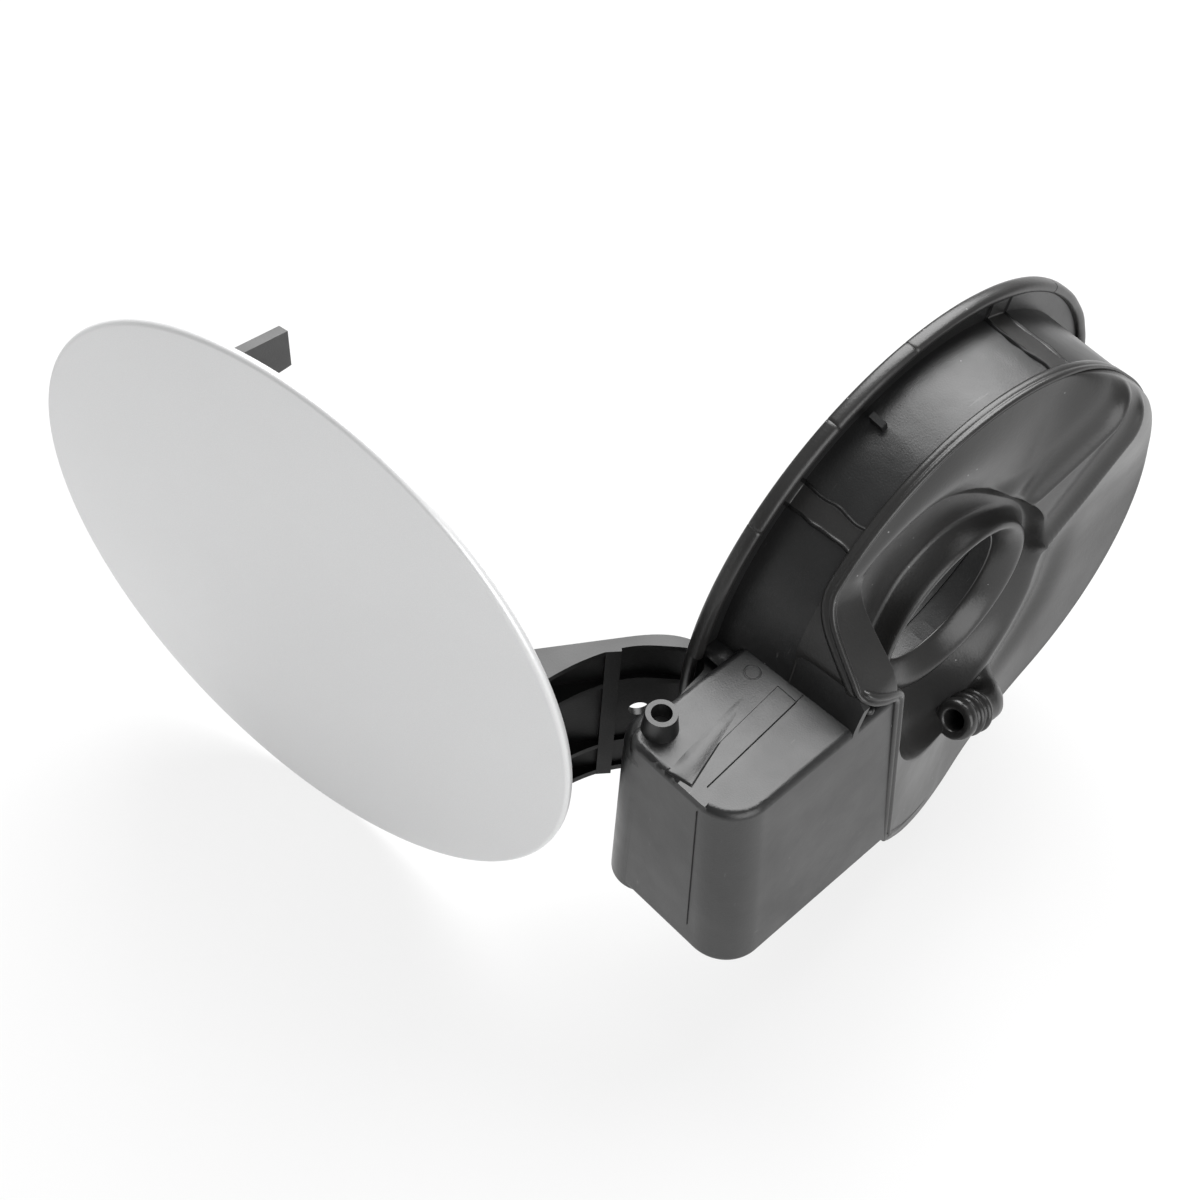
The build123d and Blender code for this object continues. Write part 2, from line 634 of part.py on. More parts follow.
# Soft moulding: flange lip, flow strips, rear wall, filler collar and drain nipple
bead_solid = pot_solid(POT_R + BEAD_OUT, 0, POT_LENGTH)
bead_bore = pot_solid(POT_R - BEAD_IN, 0, POT_LENGTH)
cap_inner = between_planes(bead_bore, rear_plane(-SOFT_T), rear_plane(BEAD_T - SOFT_T))
skirt_shell = skirt_zone(-STRIP_T, fold_head)
skirt_cap = between_planes(bead_solid, skirt_plane(0), skirt_plane(BEAD_T)) & skirt_shell
skirt_side = between_planes(bead_bore, rear_plane(0), skirt_plane(BEAD_T)) & skirt_shell
skirt_hollow = between_planes(bead_bore, rear_plane(-SOFT_T), skirt_plane(BEAD_T - SOFT_T))
skirt_hollow = skirt_hollow & skirt_zone(SOFT_T, hollow_head)
above_box = Pos(LIP_R / 2, POT_LENGTH / 2, BOX_TOP + LIP_R / 2) * Box(LIP_R, 2 * POT_LENGTH, LIP_R)
above_fold = above_box - wrap_prism
brow_out = taper((BROW_X, BROW_Z, BROW_R - BEAD_IN, BROW_FLOOR - SOFT_T),
                 (BROW_X, BROW_Z, BROW_R + SOFT_T, REAR_Y + BEAD_T)) & bead_bore
brow_out = between_planes(brow_out, depth_plane(0).reverse(), rear_plane(BEAD_T))
brow_in = taper((BROW_X, BROW_Z, BROW_R - BEAD_IN - SOFT_T, BROW_FLOOR),
                (BROW_X, BROW_Z, BROW_R + SOFT_T, RIDGE_UPPER[1][1] + SOFT_T))
core_r = RECESS_R - BEAD_IN - SOFT_T
collar_core = taper((COLLAR_X, COLLAR_Z, core_r, BROW_FLOOR - 2 * SOFT_T),
                    (COLLAR_X, COLLAR_Z, core_r, RECESS_FLOOR - SOFT_T))
brow_foot = taper((BROW_X, BROW_Z, BROW_R - BEAD_IN, BROW_FLOOR - SOFT_T),
                  (BROW_X, BROW_Z, BROW_R - BEAD_IN, RECESS_FLOOR))
riser = taper((COLLAR_X, COLLAR_Z, core_r + SOFT_T, BROW_FLOOR - SOFT_T),
              (COLLAR_X, COLLAR_Z, core_r + SOFT_T, RECESS_FLOOR)) & brow_foot
recess_out = taper((COLLAR_X, COLLAR_Z, RECESS_R - BEAD_IN, RECESS_FLOOR - SOFT_T),
                   (COLLAR_X, COLLAR_Z, RECESS_R + SOFT_T, REAR_Y + BEAD_T))
recess_in = taper((COLLAR_X, COLLAR_Z, core_r, RECESS_FLOOR),
                  (COLLAR_X, COLLAR_Z, RECESS_R + SOFT_T, RIDGE_UPPER[1][1] + SOFT_T))
nipple_axis = Vector(cos(radians(NIPPLE_RISE)), 0, sin(radians(NIPPLE_RISE)))
nipple_start = Vector(NIPPLE_X, NIPPLE_Y, NIPPLE_Z)
stub_y = rear_plane(BEAD_T - SOFT_T).origin.Y - REAR_SLOPE_X * NIPPLE_X - REAR_SLOPE_Z * NIPPLE_Z
nipple_stub = taper((NIPPLE_X, NIPPLE_Z, NIPPLE_BARB_R + SOFT_T, stub_y),
                    (NIPPLE_X, NIPPLE_Z, NIPPLE_R, NIPPLE_Y))
nipple_profile = Plane(origin=nipple_start, x_dir=(0, 1, 0), z_dir=(nipple_axis.Z, 0, -nipple_axis.X))
with BuildPart() as rim_part:
    add(Pos(0, SOFT_T, 0) * wrap_prism)
    add(wrap_prism, mode=Mode.SUBTRACT)
    add(bead_solid, mode=Mode.INTERSECT)
    with Locations((fold_foot - SOFT_T + LIP_R / 2, POT_LENGTH / 2, (BOX_TOP + WRAP_TOP) / 2)):
        Box(LIP_R, POT_LENGTH, WRAP_TOP - BOX_TOP, mode=Mode.INTERSECT)


def strip(first, last):
    """Thin strip over the flange's back and the side wall, between two angles."""
    with BuildPart() as band:
        add(between_planes(pot_solid(POT_R + STRIP_T, FLANGE_T, POT_LENGTH) - pot_outer,
                           depth_plane(FLANGE_T).reverse(), rear_plane(0)))
        with BuildSketch(depth_plane(FLANGE_T)):
            Circle((FLANGE_R + LIP_R) / 2)
            Circle(POT_R, mode=Mode.SUBTRACT)
        extrude(amount=-STRIP_T)
        with BuildSketch(depth_plane(0)):
            with BuildLine():
                Polyline((0, 0), (DOOR_R * cos(radians(first)), DOOR_R * sin(radians(first))),
                         (DOOR_R * cos(radians(last)), DOOR_R * sin(radians(last))), close=True)
            make_face()
        extrude(amount=-POT_LENGTH, mode=Mode.INTERSECT)
    return band.part


def lip_arc(inner, back, first, last):
    """Part of the flange's rolled lip, between two angles."""
    start = Vector(cos(radians(last)), 0, sin(radians(last)))
    with BuildPart() as arc:
        with BuildSketch(Plane(origin=(0, 0, 0), x_dir=start, z_dir=start.cross(Vector(0, 1, 0)))):
            with Locations(((inner + LIP_R) / 2, (back - LIP_FRONT) / 2)):
                RectangleRounded(LIP_R - inner, back + LIP_FRONT, (LIP_R - inner) / 3)
        revolve(axis=Axis.Y, revolution_arc=last - first)
    return arc.part


with BuildPart() as soft_moulding:
    # Rear wall with its bead
    add(between_planes(bead_solid, rear_plane(0), rear_plane(BEAD_T)))
    add(roof(bead_solid, 0))
    add(cap_inner, mode=Mode.SUBTRACT)
    add(roof(bead_bore, SOFT_T), mode=Mode.SUBTRACT)
    split(bisect_by=rear_plane(0), keep=Keep.TOP)
    add(brow_out)
    add(brow_in, mode=Mode.SUBTRACT)
    add(riser)
    add(collar_core, mode=Mode.SUBTRACT)
    add(recess_out)
    add(recess_in, mode=Mode.SUBTRACT)
    # Recess floor and collar around the filler neck
    with BuildSketch(Plane(origin=(COLLAR_X, 0, COLLAR_Z), x_dir=(1, 0, 0), z_dir=(0, 0, 1))):
        with BuildLine():
            Polyline((COLLAR_HOLE_R, COLLAR_FRONT), (COLLAR_HOLE_R + SOFT_T, COLLAR_FRONT),
                     (COLLAR_LIP_R, RECESS_FLOOR - SOFT_T), (RECESS_R - BEAD_IN, RECESS_FLOOR - SOFT_T),
                     (RECESS_R - BEAD_IN, RECESS_FLOOR), (COLLAR_LIP_R + SOFT_T, RECESS_FLOOR),
                     (COLLAR_LIP_R, COLLAR_LIP_REAR), (COLLAR_LIP_R - SOFT_T, COLLAR_LIP_REAR),
                     (COLLAR_HOLE_R, COLLAR_FRONT + SOFT_T), close=True)
        make_face()
    revolve(axis=Axis((COLLAR_X, 0, COLLAR_Z), (0, 1, 0)))
    with BuildSketch(depth_plane(COLLAR_FRONT - SOFT_T)):
        with Locations((COLLAR_X, COLLAR_Z)):
            Circle(COLLAR_HOLE_R)
    extrude(amount=-POT_LENGTH, mode=Mode.SUBTRACT)
    # Open side at the hinge box, closed by the folded edge
    with BuildSketch(depth_plane(0)):
        with BuildLine():
            Polyline(*fold_line, (DOOR_R, WRAP_TOP), (DOOR_R, -LIP_R), (BOX_LEFT, -LIP_R), close=True)
        make_face()
    extrude(amount=-POT_LENGTH, mode=Mode.SUBTRACT)
    # Raised part beside the hinge box, and the rim over the wrapped wall
    add(skirt_outer, mode=Mode.SUBTRACT)
    add(skirt_side - above_fold)
    add(skirt_cap - above_fold)
    add(skirt_hollow, mode=Mode.SUBTRACT)
    add(wrap_wall, mode=Mode.SUBTRACT)
    add(rim_part.part)
    # Drain elbow with its nipple
    add(nipple_stub)
    with Locations(nipple_start):
        Sphere(NIPPLE_R)
    with BuildSketch(nipple_profile):
        with BuildLine():
            Polyline((0, 0), (NIPPLE_R, 0), (NIPPLE_R, NIPPLE_STEPS[0]), (NIPPLE_BARB_R, NIPPLE_STEPS[0]),
                     (NIPPLE_R, NIPPLE_STEPS[1]), (NIPPLE_R, NIPPLE_STEPS[2]),
                     (NIPPLE_BARB_R, NIPPLE_STEPS[2]), (NIPPLE_R, NIPPLE_LENGTH),
                     (0, NIPPLE_LENGTH), close=True)
        make_face()
    revolve(axis=Axis(nipple_start, nipple_axis))
    with BuildSketch(Plane(origin=nipple_start, z_dir=nipple_axis)):
        Circle(NIPPLE_BORE_R)
    extrude(amount=NIPPLE_LENGTH, mode=Mode.SUBTRACT)
    with BuildSketch(depth_plane(NIPPLE_Y)):
        with Locations((NIPPLE_X, NIPPLE_Z)):
            Circle(DRAIN_R)
    extrude(amount=POT_LENGTH / 2, mode=Mode.SUBTRACT)
    # Flow strips along the flange and side wall
    for first, last in STRIP_ANGLES:
        add(strip(first, last))
    # Flange lip, thin at the hinge and open where the arm passes
    add(lip_arc(FLANGE_R, LIP_BACK, LIP_NECK, FULL_TURN + LIP_GAP[0]))
    add(lip_arc(LIP_HINGE_R, LIP_HINGE_BACK, LIP_GAP[1], LIP_NECK))
soft_moulding.part.label = "soft_moulding"
export_step(soft_moulding.part, "parts/soft_moulding.step")
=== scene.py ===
"""Looks of a round fuel door: silver disc, gooseneck arm, filler pot and soft rear wall.

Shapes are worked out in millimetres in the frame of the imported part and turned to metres
when a mesh is made. X points to the hinge, Y into the car and Z up.
"""
import math

import bmesh
import bpy
import numpy as np
from mathutils import Matrix, Vector, noise


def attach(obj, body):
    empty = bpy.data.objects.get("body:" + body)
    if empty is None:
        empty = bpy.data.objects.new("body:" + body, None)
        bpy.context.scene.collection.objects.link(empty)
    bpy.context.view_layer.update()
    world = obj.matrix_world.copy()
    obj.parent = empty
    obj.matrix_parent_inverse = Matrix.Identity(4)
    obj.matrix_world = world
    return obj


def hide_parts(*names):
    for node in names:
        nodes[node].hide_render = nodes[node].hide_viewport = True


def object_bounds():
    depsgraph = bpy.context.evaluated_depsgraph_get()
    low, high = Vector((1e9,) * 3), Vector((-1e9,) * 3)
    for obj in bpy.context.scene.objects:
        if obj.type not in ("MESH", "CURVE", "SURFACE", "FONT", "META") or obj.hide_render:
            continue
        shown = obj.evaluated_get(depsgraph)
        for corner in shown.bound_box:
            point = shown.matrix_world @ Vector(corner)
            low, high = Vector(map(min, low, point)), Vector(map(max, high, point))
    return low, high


MM = 0.001

# Door
HINGE = (113.3, 14.8)
OPEN_ANGLE = math.radians(99.9)
DOOR_R = 100.0
HEM_R = 1.5
HEM_BACK = -5.2
HEM_WIDTH = 7.0
HEM_ROUND = 0.3
HEM_LAP = 0.2
SKIN_T = 1.0
CROWN = 4.0
CROWN_STEPS = 40
CROWN_START = 0.0005
HEM_STEPS = 15

# Pot: its wall narrows with depth and drifts from the hinge
POT_R = 79.5
POT_SHRINK = 0.05
POT_DRIFT = 0.1
WALL_T = 2.2

# Edge of the soft rear wall: two planes, each a depth with slopes along X and Z
REAR = (34.4, -0.045, -0.069)
SKIRT = (38.952, 0.272, -0.097)
WALL_OUT = 0.9
# The wrap over the hinge box: depth at a level, level and slope below it
WRAP_TOP = (31.0, 42.0, 1.44)
FOLD_TOP = 30.0
FOLD_RUN = 13.0
COLLAR = (8.0, 0.0)

# Hinge box: back and left side, each a place with a slope along Z
BOX_REAR = (55.15, -0.0973)
BOX_SIDE = (56.78, 0.0676)
BOX_TOP = 18.0

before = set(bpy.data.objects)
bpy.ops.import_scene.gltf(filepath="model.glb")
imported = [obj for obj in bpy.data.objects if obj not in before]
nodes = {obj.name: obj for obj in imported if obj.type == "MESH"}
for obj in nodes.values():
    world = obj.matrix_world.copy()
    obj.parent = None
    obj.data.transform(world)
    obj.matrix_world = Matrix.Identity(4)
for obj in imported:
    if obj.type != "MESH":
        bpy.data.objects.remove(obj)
cad_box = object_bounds()
scene = bpy.context.scene


def srgb(level):
    """Linear value of an 8-bit display level."""
    value = level / 255
    return value / 12.92 if value <= 0.04045 else ((value + 0.055) / 1.055) ** 2.4


def grey(level, warm=0.0):
    """Grey of a display level, warmer or cooler by a share."""
    value = srgb(level)
    return (value * (1 + warm), value, value * (1 - warm), 1)


class Finish:
    """A material with a Principled shader and helpers for its procedural detail."""

    def __init__(self, name, colour, roughness, **sockets):
        self.material = bpy.data.materials.new(name)
        self.material.use_nodes = True
        self.nodes = self.material.node_tree.nodes
        self.links = self.material.node_tree.links
        self.shader = self.nodes["Principled BSDF"]
        self.shader.inputs["Base Color"].default_value = colour
        self.shader.inputs["Roughness"].default_value = roughness
        for socket, value in sockets.items():
            self.shader.inputs[socket.replace("_", " ")].default_value = value
        self.coords = self.nodes.new("ShaderNodeTexCoord").outputs["Object"]
        self.normal = None

    def stretched(self, scale, turn):
        """Object coordinates turned, and scaled along each axis."""
        mapping = self.nodes.new("ShaderNodeMapping")
        mapping.inputs["Scale"].default_value = scale
        mapping.inputs["Rotation"].default_value = turn
        self.links.new(self.coords, mapping.inputs["Vector"])
        return mapping.outputs["Vector"]

    def noise(self, scale, detail=3.0, rough=0.5, coords=None):
        """Fractal noise over the object."""
        node = self.nodes.new("ShaderNodeTexNoise")
        node.inputs["Scale"].default_value = scale
        node.inputs["Detail"].default_value = detail
        node.inputs["Roughness"].default_value = rough
        self.links.new(coords or self.coords, node.inputs["Vector"])
        return node.outputs["Fac"]

    def ramp(self, source, start, end):
        """Maps a source from one pair of position and value to another."""
        node = self.nodes.new("ShaderNodeMapRange")
        node.inputs["From Min"].default_value = start[0]
        node.inputs["From Max"].default_value = end[0]
        node.inputs["To Min"].default_value = start[1]
        node.inputs["To Max"].default_value = end[1]
        self.links.new(source, node.inputs["Value"])
        return node.outputs["Result"]

    def combine(self, operation, first, second):
        """Result of an operation on a socket and a socket or number."""
        node = self.nodes.new("ShaderNodeMath")
        node.operation = operation
        self.links.new(first, node.inputs[0])
        if isinstance(second, float):
            node.inputs[1].default_value = second
        else:
            self.links.new(second, node.inputs[1])
        return node.outputs["Value"]

    def specks(self, scale, size, share):
        """Mask of small dots: a share of the cells of a pattern holds a dot."""
        cells = self.nodes.new("ShaderNodeTexVoronoi")
        cells.inputs["Scale"].default_value = scale
        self.links.new(self.coords, cells.inputs["Vector"])
        near = self.ramp(cells.outputs["Distance"], (size * 0.6, 1.0), (size, 0.0))
        chosen = self.ramp(cells.outputs["Color"], (share, 1.0), (share + 0.01, 0.0))
        return self.combine("MULTIPLY", near, chosen)

    def blend_colour(self, mask, colour):
        """Mixes a colour over the base where the mask is one."""
        mix = self.nodes.new("ShaderNodeMix")
        mix.data_type = "RGBA"
        base = self.shader.inputs["Base Color"]
        self.links.new(mask, mix.inputs["Factor"])
        if base.is_linked:
            self.links.new(base.links[0].from_socket, mix.inputs["A"])
        else:
            mix.inputs["A"].default_value = base.default_value
        mix.inputs["B"].default_value = colour
        self.links.new(mix.outputs["Result"], base)

    def mottle(self, scale, colour):
        """Soft patches of a second colour."""
        self.blend_colour(self.ramp(self.noise(scale, 4.0), (0.4, 0.0), (0.75, 0.5)), colour)

    def vary_roughness(self, source, low, high):
        """Roughness between two values, from a pattern."""
        self.links.new(self.ramp(source, (0.3, low), (0.7, high)), self.shader.inputs["Roughness"])

    def bump(self, source, height):
        """Adds relief of a height in metres."""
        node = self.nodes.new("ShaderNodeBump")
        node.inputs["Strength"].default_value = 1.0
        node.inputs["Distance"].default_value = height
        self.links.new(source, node.inputs["Height"])
        if self.normal is not None:
            self.links.new(self.normal, node.inputs["Normal"])
        self.normal = node.outputs["Normal"]
        self.links.new(self.normal, self.shader.inputs["Normal"])

    def show_white(self, share):
        """Lets rays from the camera and from reflections see a share of plain white."""
        rays = self.nodes.new("ShaderNodeLightPath").outputs
        seen = rays["Is Camera Ray"]
        for ray in ("Is Glossy Ray", "Is Transmission Ray"):
            seen = self.combine("MAXIMUM", seen, rays[ray])
        white = self.nodes.new("ShaderNodeEmission")
        white.inputs["Color"].default_value = (1, 1, 1, 1)
        white.inputs["Strength"].default_value = 1
        mix = self.nodes.new("ShaderNodeMixShader")
        self.links.new(self.combine("MULTIPLY", seen, share), mix.inputs["Fac"])
        self.links.new(self.shader.outputs["BSDF"], mix.inputs[1])
        self.links.new(white.outputs["Emission"], mix.inputs[2])
        self.links.new(mix.outputs["Shader"], self.nodes["Material Output"].inputs["Surface"])


silver = Finish("silver_paint", grey(222, -0.004), 0.42, Metallic=0.35, Coat_Weight=0.25, Coat_Roughness=0.22)
silver.blend_colour(silver.ramp(silver.noise(5200, 1.0), (0.42, 0.0), (0.7, 0.35)), grey(240))
silver.vary_roughness(silver.noise(16), 0.39, 0.46)
silver.bump(silver.noise(900, 2.0), 0.00001)
silver.bump(silver.noise(3600, 1.0), 0.000006)

primer = Finish("primed_panel", grey(170), 0.55, Metallic=0.1)
primer.blend_colour(primer.ramp(primer.noise(30, 4.0), (0.4, 0.0), (0.7, 0.3)), grey(150))
primer.vary_roughness(primer.noise(60), 0.48, 0.62)
primer.bump(primer.noise(700, 2.0), 0.00002)

plastic = Finish("black_plastic", grey(26, -0.02), 0.36, Specular_IOR_Level=0.6)
plastic.mottle(60, grey(36))
plastic.blend_colour(plastic.specks(420, 0.1, 0.12), grey(120))
scuff_lines = plastic.noise(1.0, 4.0, 0.6, plastic.stretched((70, 700, 120), (0, 0, 0.5)))
plastic.blend_colour(plastic.ramp(scuff_lines, (0.68, 0.0), (0.78, 0.35)), grey(120))
plastic.vary_roughness(plastic.noise(45, 5.0, 0.6), 0.3, 0.42)
plastic.bump(plastic.noise(1900, 2.0), 0.00004)
plastic.bump(plastic.noise(160), 0.00006)

rubber = Finish("soft_rubber", grey(34, 0.02), 0.34, Specular_IOR_Level=0.6)
rubber.mottle(40, grey(46, 0.02))
rubber.blend_colour(rubber.specks(380, 0.12, 0.16), grey(135))
rubber.vary_roughness(rubber.noise(35, 4.0), 0.28, 0.4)
rubber.bump(rubber.noise(1300, 2.0), 0.00004)
rubber.bump(rubber.noise(120), 0.0001)

arm_plastic = Finish("arm_plastic", grey(8), 0.4, Specular_IOR_Level=0.5)
arm_plastic.mottle(70, grey(14))
arm_plastic.vary_roughness(arm_plastic.noise(50, 4.0), 0.34, 0.46)
arm_plastic.bump(arm_plastic.noise(1500, 2.0), 0.00004)

# Dark, mat rubber for the flow strips' borders and the box's parting seams: partly the mat flash of those
# edges, partly painted shade along their ridges and gaps
flash_and_painted_shade = Finish("rubber_flash_and_painted_shade", grey(10), 0.5, Specular_IOR_Level=0.3)
flash_and_painted_shade.vary_roughness(flash_and_painted_shade.noise(90), 0.44, 0.56)
flash_and_painted_shade.bump(flash_and_painted_shade.noise(900, 2.0), 0.00006)

# Darker, less glossy copy of the arm's plastic: painted shade for its faces that don't look up
arm_painted_shade = Finish("arm_painted_shade", grey(6), 0.5, Specular_IOR_Level=0.22)
arm_painted_shade.vary_roughness(arm_painted_shade.noise(50, 4.0), 0.44, 0.56)
arm_painted_shade.bump(arm_painted_shade.noise(1500, 2.0), 0.00004)

steel = Finish("steel", grey(150), 0.35, Metallic=1.0)
steel.vary_roughness(steel.noise(300), 0.28, 0.45)
steel.bump(steel.noise(1500, 2.0), 0.00001)

tongue_plastic = Finish("tongue_plastic", grey(80), 0.5)
tongue_plastic.mottle(80, grey(92))
tongue_plastic.vary_roughness(tongue_plastic.noise(60, 4.0), 0.45, 0.56)
tongue_plastic.bump(tongue_plastic.noise(1500, 2.0), 0.00004)


def add_object(name, mesh, finish, body):
    """Links a mesh as a smooth piece that rides on a body."""
    obj = bpy.data.objects.new(name, mesh)
    scene.collection.objects.link(obj)
    mesh.materials.clear()
    mesh.materials.append(finish.material)
    mesh.polygons.foreach_set("use_smooth", [True] * len(mesh.polygons))
    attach(obj, body)
    return obj


def add_points(name, points, faces, finish, body, sharp=None):
    """Piece from points in millimetres and faces, with normals made to agree."""
    mesh = bpy.data.meshes.new(name)
    mesh.from_pydata([tuple(point) for point in np.asarray(points, float) * MM], [], faces)
    work = bmesh.new()
    work.from_mesh(mesh)
    bmesh.ops.recalc_face_normals(work, faces=work.faces)
    work.to_mesh(mesh)
    work.free()
    obj = add_object(name, mesh, finish, body)
    if sharp:
        mesh.set_sharp_from_angle(angle=math.radians(sharp))
    return obj


def grid_faces(rows, columns, wrap_rows=False, wrap_columns=False):
    """Quads of a grid of points stored row by row."""
    faces = []
    for row in range(rows if wrap_rows else rows - 1):
        below = (row + 1) % rows
        for column in range(columns if wrap_columns else columns - 1):
            beside = (column + 1) % columns
            faces.append((row * columns + column, row * columns + beside,
                          below * columns + beside, below * columns + column))
    return faces


def row_face(row, columns):
    """Face over one row of a grid of points, which closes the end of a tube."""
    return tuple(range(row * columns, (row + 1) * columns))


def tube(name, sections, finish, body, sharp=None):
    """Piece from closed sections one after the other, with both ends closed."""
    rows = len(sections)
    columns = len(sections[0])
    faces = grid_faces(rows, columns, wrap_columns=True)
    faces += [row_face(0, columns), row_face(rows - 1, columns)]
    points = [point for section in sections for point in section]
    return add_points(name, points, faces, finish, body, sharp)


def lathe(name, profile, centre, axis, finish, body, segments, sharp=None):
    """Piece turned about an axis from a profile of radius and height."""
    axis = Vector(axis).normalized()
    across = axis.orthogonal().normalized()
    other = axis.cross(across)
    points = []
    for radius, height in profile:
        for step in range(segments):
            turn = 2 * math.pi * step / segments
            points.append(Vector(centre) + axis * height
                          + across * (radius * math.cos(turn)) + other * (radius * math.sin(turn)))
    return add_points(name, points, grid_faces(len(profile), segments, wrap_columns=True), finish, body, sharp)


def sweep(name, first, last, section, finish, body, lead, count=24):
    """Straight piece; section(share) gives its outline as pairs to the lead's side and upright to it."""
    first = Vector(first)
    last = Vector(last)
    along = (last - first).normalized()
    side = Vector(lead)
    side = (side - along * side.dot(along)).normalized()
    up = along.cross(side)
    sections = []
    for step in range(count):
        share = step / (count - 1)
        centre = first.lerp(last, share)
        sections.append([centre + side * out + up * rise for out, rise in section(share)])
    return tube(name, sections, finish, body)


MERGE_GAP = 0.005
FLAT_ANGLE = math.radians(1)
ROUNDED_ANGLE = math.radians(28)
ROUNDED_STEPS = 2


def moulded(name, node, finish, body, width, reshape=None):
    """Copy of a solid with its edges rounded, in place of the solid."""
    work = bmesh.new()
    work.from_mesh(nodes[node].data)
    bmesh.ops.remove_doubles(work, verts=work.verts, dist=MERGE_GAP * MM)
    if reshape:
        for vert in work.verts:
            vert.co = Vector(reshape(*(value / MM for value in vert.co))) * MM
    bmesh.ops.dissolve_limit(work, angle_limit=FLAT_ANGLE, verts=work.verts, edges=work.edges)
    mesh = bpy.data.meshes.new(name)
    work.to_mesh(mesh)
    work.free()
    obj = add_object(name, mesh, finish, body)
    bevel = obj.modifiers.new("rounded_edges", "BEVEL")
    bevel.width = width * MM
    bevel.segments = ROUNDED_STEPS
    bevel.limit_method = "ANGLE"
    bevel.angle_limit = ROUNDED_ANGLE
    bevel.miter_outer = "MITER_ARC"
    weighted = obj.modifiers.new("even_shading", "WEIGHTED_NORMAL")
    weighted.keep_sharp = True
    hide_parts(node)
    return obj


# Door
door_x = Vector((math.cos(OPEN_ANGLE), math.sin(OPEN_ANGLE), 0))
door_y = Vector((-math.sin(OPEN_ANGLE), math.cos(OPEN_ANGLE), 0))


def door_point(x, y, z):
    """Point given where the closed door has it."""
    return Vector((*HINGE, z)) + door_x * (x - HINGE[0]) + door_y * (y - HINGE[1])


def door_profile():
    """Radius and depth of the crowned skin and its hem."""
    hem_centre = DOOR_R - HEM_R
    middle = HEM_BACK - HEM_R
    front = middle - HEM_R
    profile = [(hem_centre * share, front - CROWN * (1 - share ** 2))
               for share in np.linspace(CROWN_START, 1, CROWN_STEPS)]
    for turn in np.linspace(-90, 90, HEM_STEPS)[1:]:
        angle = math.radians(turn)
        profile.append((hem_centre + HEM_R * math.cos(angle), middle + HEM_R * math.sin(angle)))
    inner = DOOR_R - HEM_WIDTH
    profile += [(inner + HEM_ROUND, HEM_BACK), (inner, HEM_BACK - HEM_ROUND),
                (inner, HEM_BACK - SKIN_T + HEM_LAP)]
    return profile


door_skin = lathe("door_skin_painted", door_profile(), door_point(0, 0, 0), door_y, silver, "door", 320,
                  sharp=50)
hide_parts("door_skin")


# Rear wall: heights
def smooth_max(first, second, width):
    """Larger of two heights, rounded over a width."""
    share = np.clip(0.5 + 0.5 * (first - second) / width, 0, 1)
    return second + (first - second) * share + width * share * (1 - share)


def smooth_min(first, second, width):
    """Smaller of two heights, rounded over a width."""
    return -smooth_max(-first, -second, width)


def smooth_step(value):
    """Rise from nought to one with level ends."""
    value = np.clip(value, 0, 1)
    return value * value * (3 - 2 * value)


def plane_height(plane, x, z):
    """Depth of a plane given as a constant and two slopes."""
    return plane[0] + plane[1] * x + plane[2] * z


def plane_through(first, second, third):
    """Constant and slopes of the plane through three points x, depth, z."""
    rows = [(1, point[0], point[2]) for point in (first, second, third)]
    return np.linalg.solve(rows, [point[1] for point in (first, second, third)])


# Ridged roof: ends of its two ridges and the points where its sides meet the edge
RIDGE_HIGH = ((-19.0, 36.0, 31.0), (-49.0, 44.5, 60.0))
RIDGE_LOW = ((-29.0, 37.0, -5.5), (-54.0, 44.5, 49.0))
RIM_HIGH = (-25.0, 31.0, 70.0)
RIM_LOW = (-80.0, 38.3, 5.0)
RIDGE_RISE = 1.7
RIDGE_WIDTH = 2.0
RIDGE_FADE = 4.0
VALLEY = 1.1
VALLEY_WIDTH = 4.5
VALLEY_OFF = 6.5
# Widths over which the surfaces of the wall run into each other
WRAP_SOFT = 8.0
SKIRT_SOFT = 4.0
EDGE_SOFT = 7.0
UPPER_SOFT = 0.8
LOWER_SOFT = 1.0
ROOF_SOFT = 2.5
facet = plane_through(RIDGE_HIGH[0], RIDGE_LOW[0], RIDGE_LOW[1])
upper_side = plane_through(RIDGE_HIGH[0], RIDGE_HIGH[1], RIM_HIGH)
lower_side = plane_through(RIDGE_LOW[0], RIDGE_LOW[1], RIM_LOW)


def ridge_line(ends, x, z):
    """Rounded crest and valley along a line between two points, fading past its ends."""
    first = np.array((ends[0][0], ends[0][2]))
    run = np.array((ends[1][0], ends[1][2])) - first
    length = np.hypot(*run)
    run = run / length
    along = (x - first[0]) * run[0] + (z - first[1]) * run[1]
    across = (x - first[0]) * run[1] - (z - first[1]) * run[0]
    past = np.maximum(np.maximum(-along, along - length), 0)
    crest = RIDGE_RISE * np.exp(-(across / RIDGE_WIDTH) ** 2)
    valley = VALLEY * np.exp(-((across - VALLEY_OFF) / VALLEY_WIDTH) ** 2)
    return (crest - valley) * np.exp(-(past / RIDGE_FADE) ** 2)


def edge_height(x, z):
    """Depth of the rear wall's edge, with its rise beside the hinge box."""
    wrap_slope = WRAP_TOP[0] + WRAP_TOP[2] * (WRAP_TOP[1] - z)
    wrap = smooth_min(BOX_REAR[0] + BOX_REAR[1] * z, wrap_slope, WRAP_SOFT)
    raised = smooth_min(plane_height(SKIRT, x, z), wrap, SKIRT_SOFT)
    return smooth_max(plane_height(REAR, x, z), raised, EDGE_SOFT)


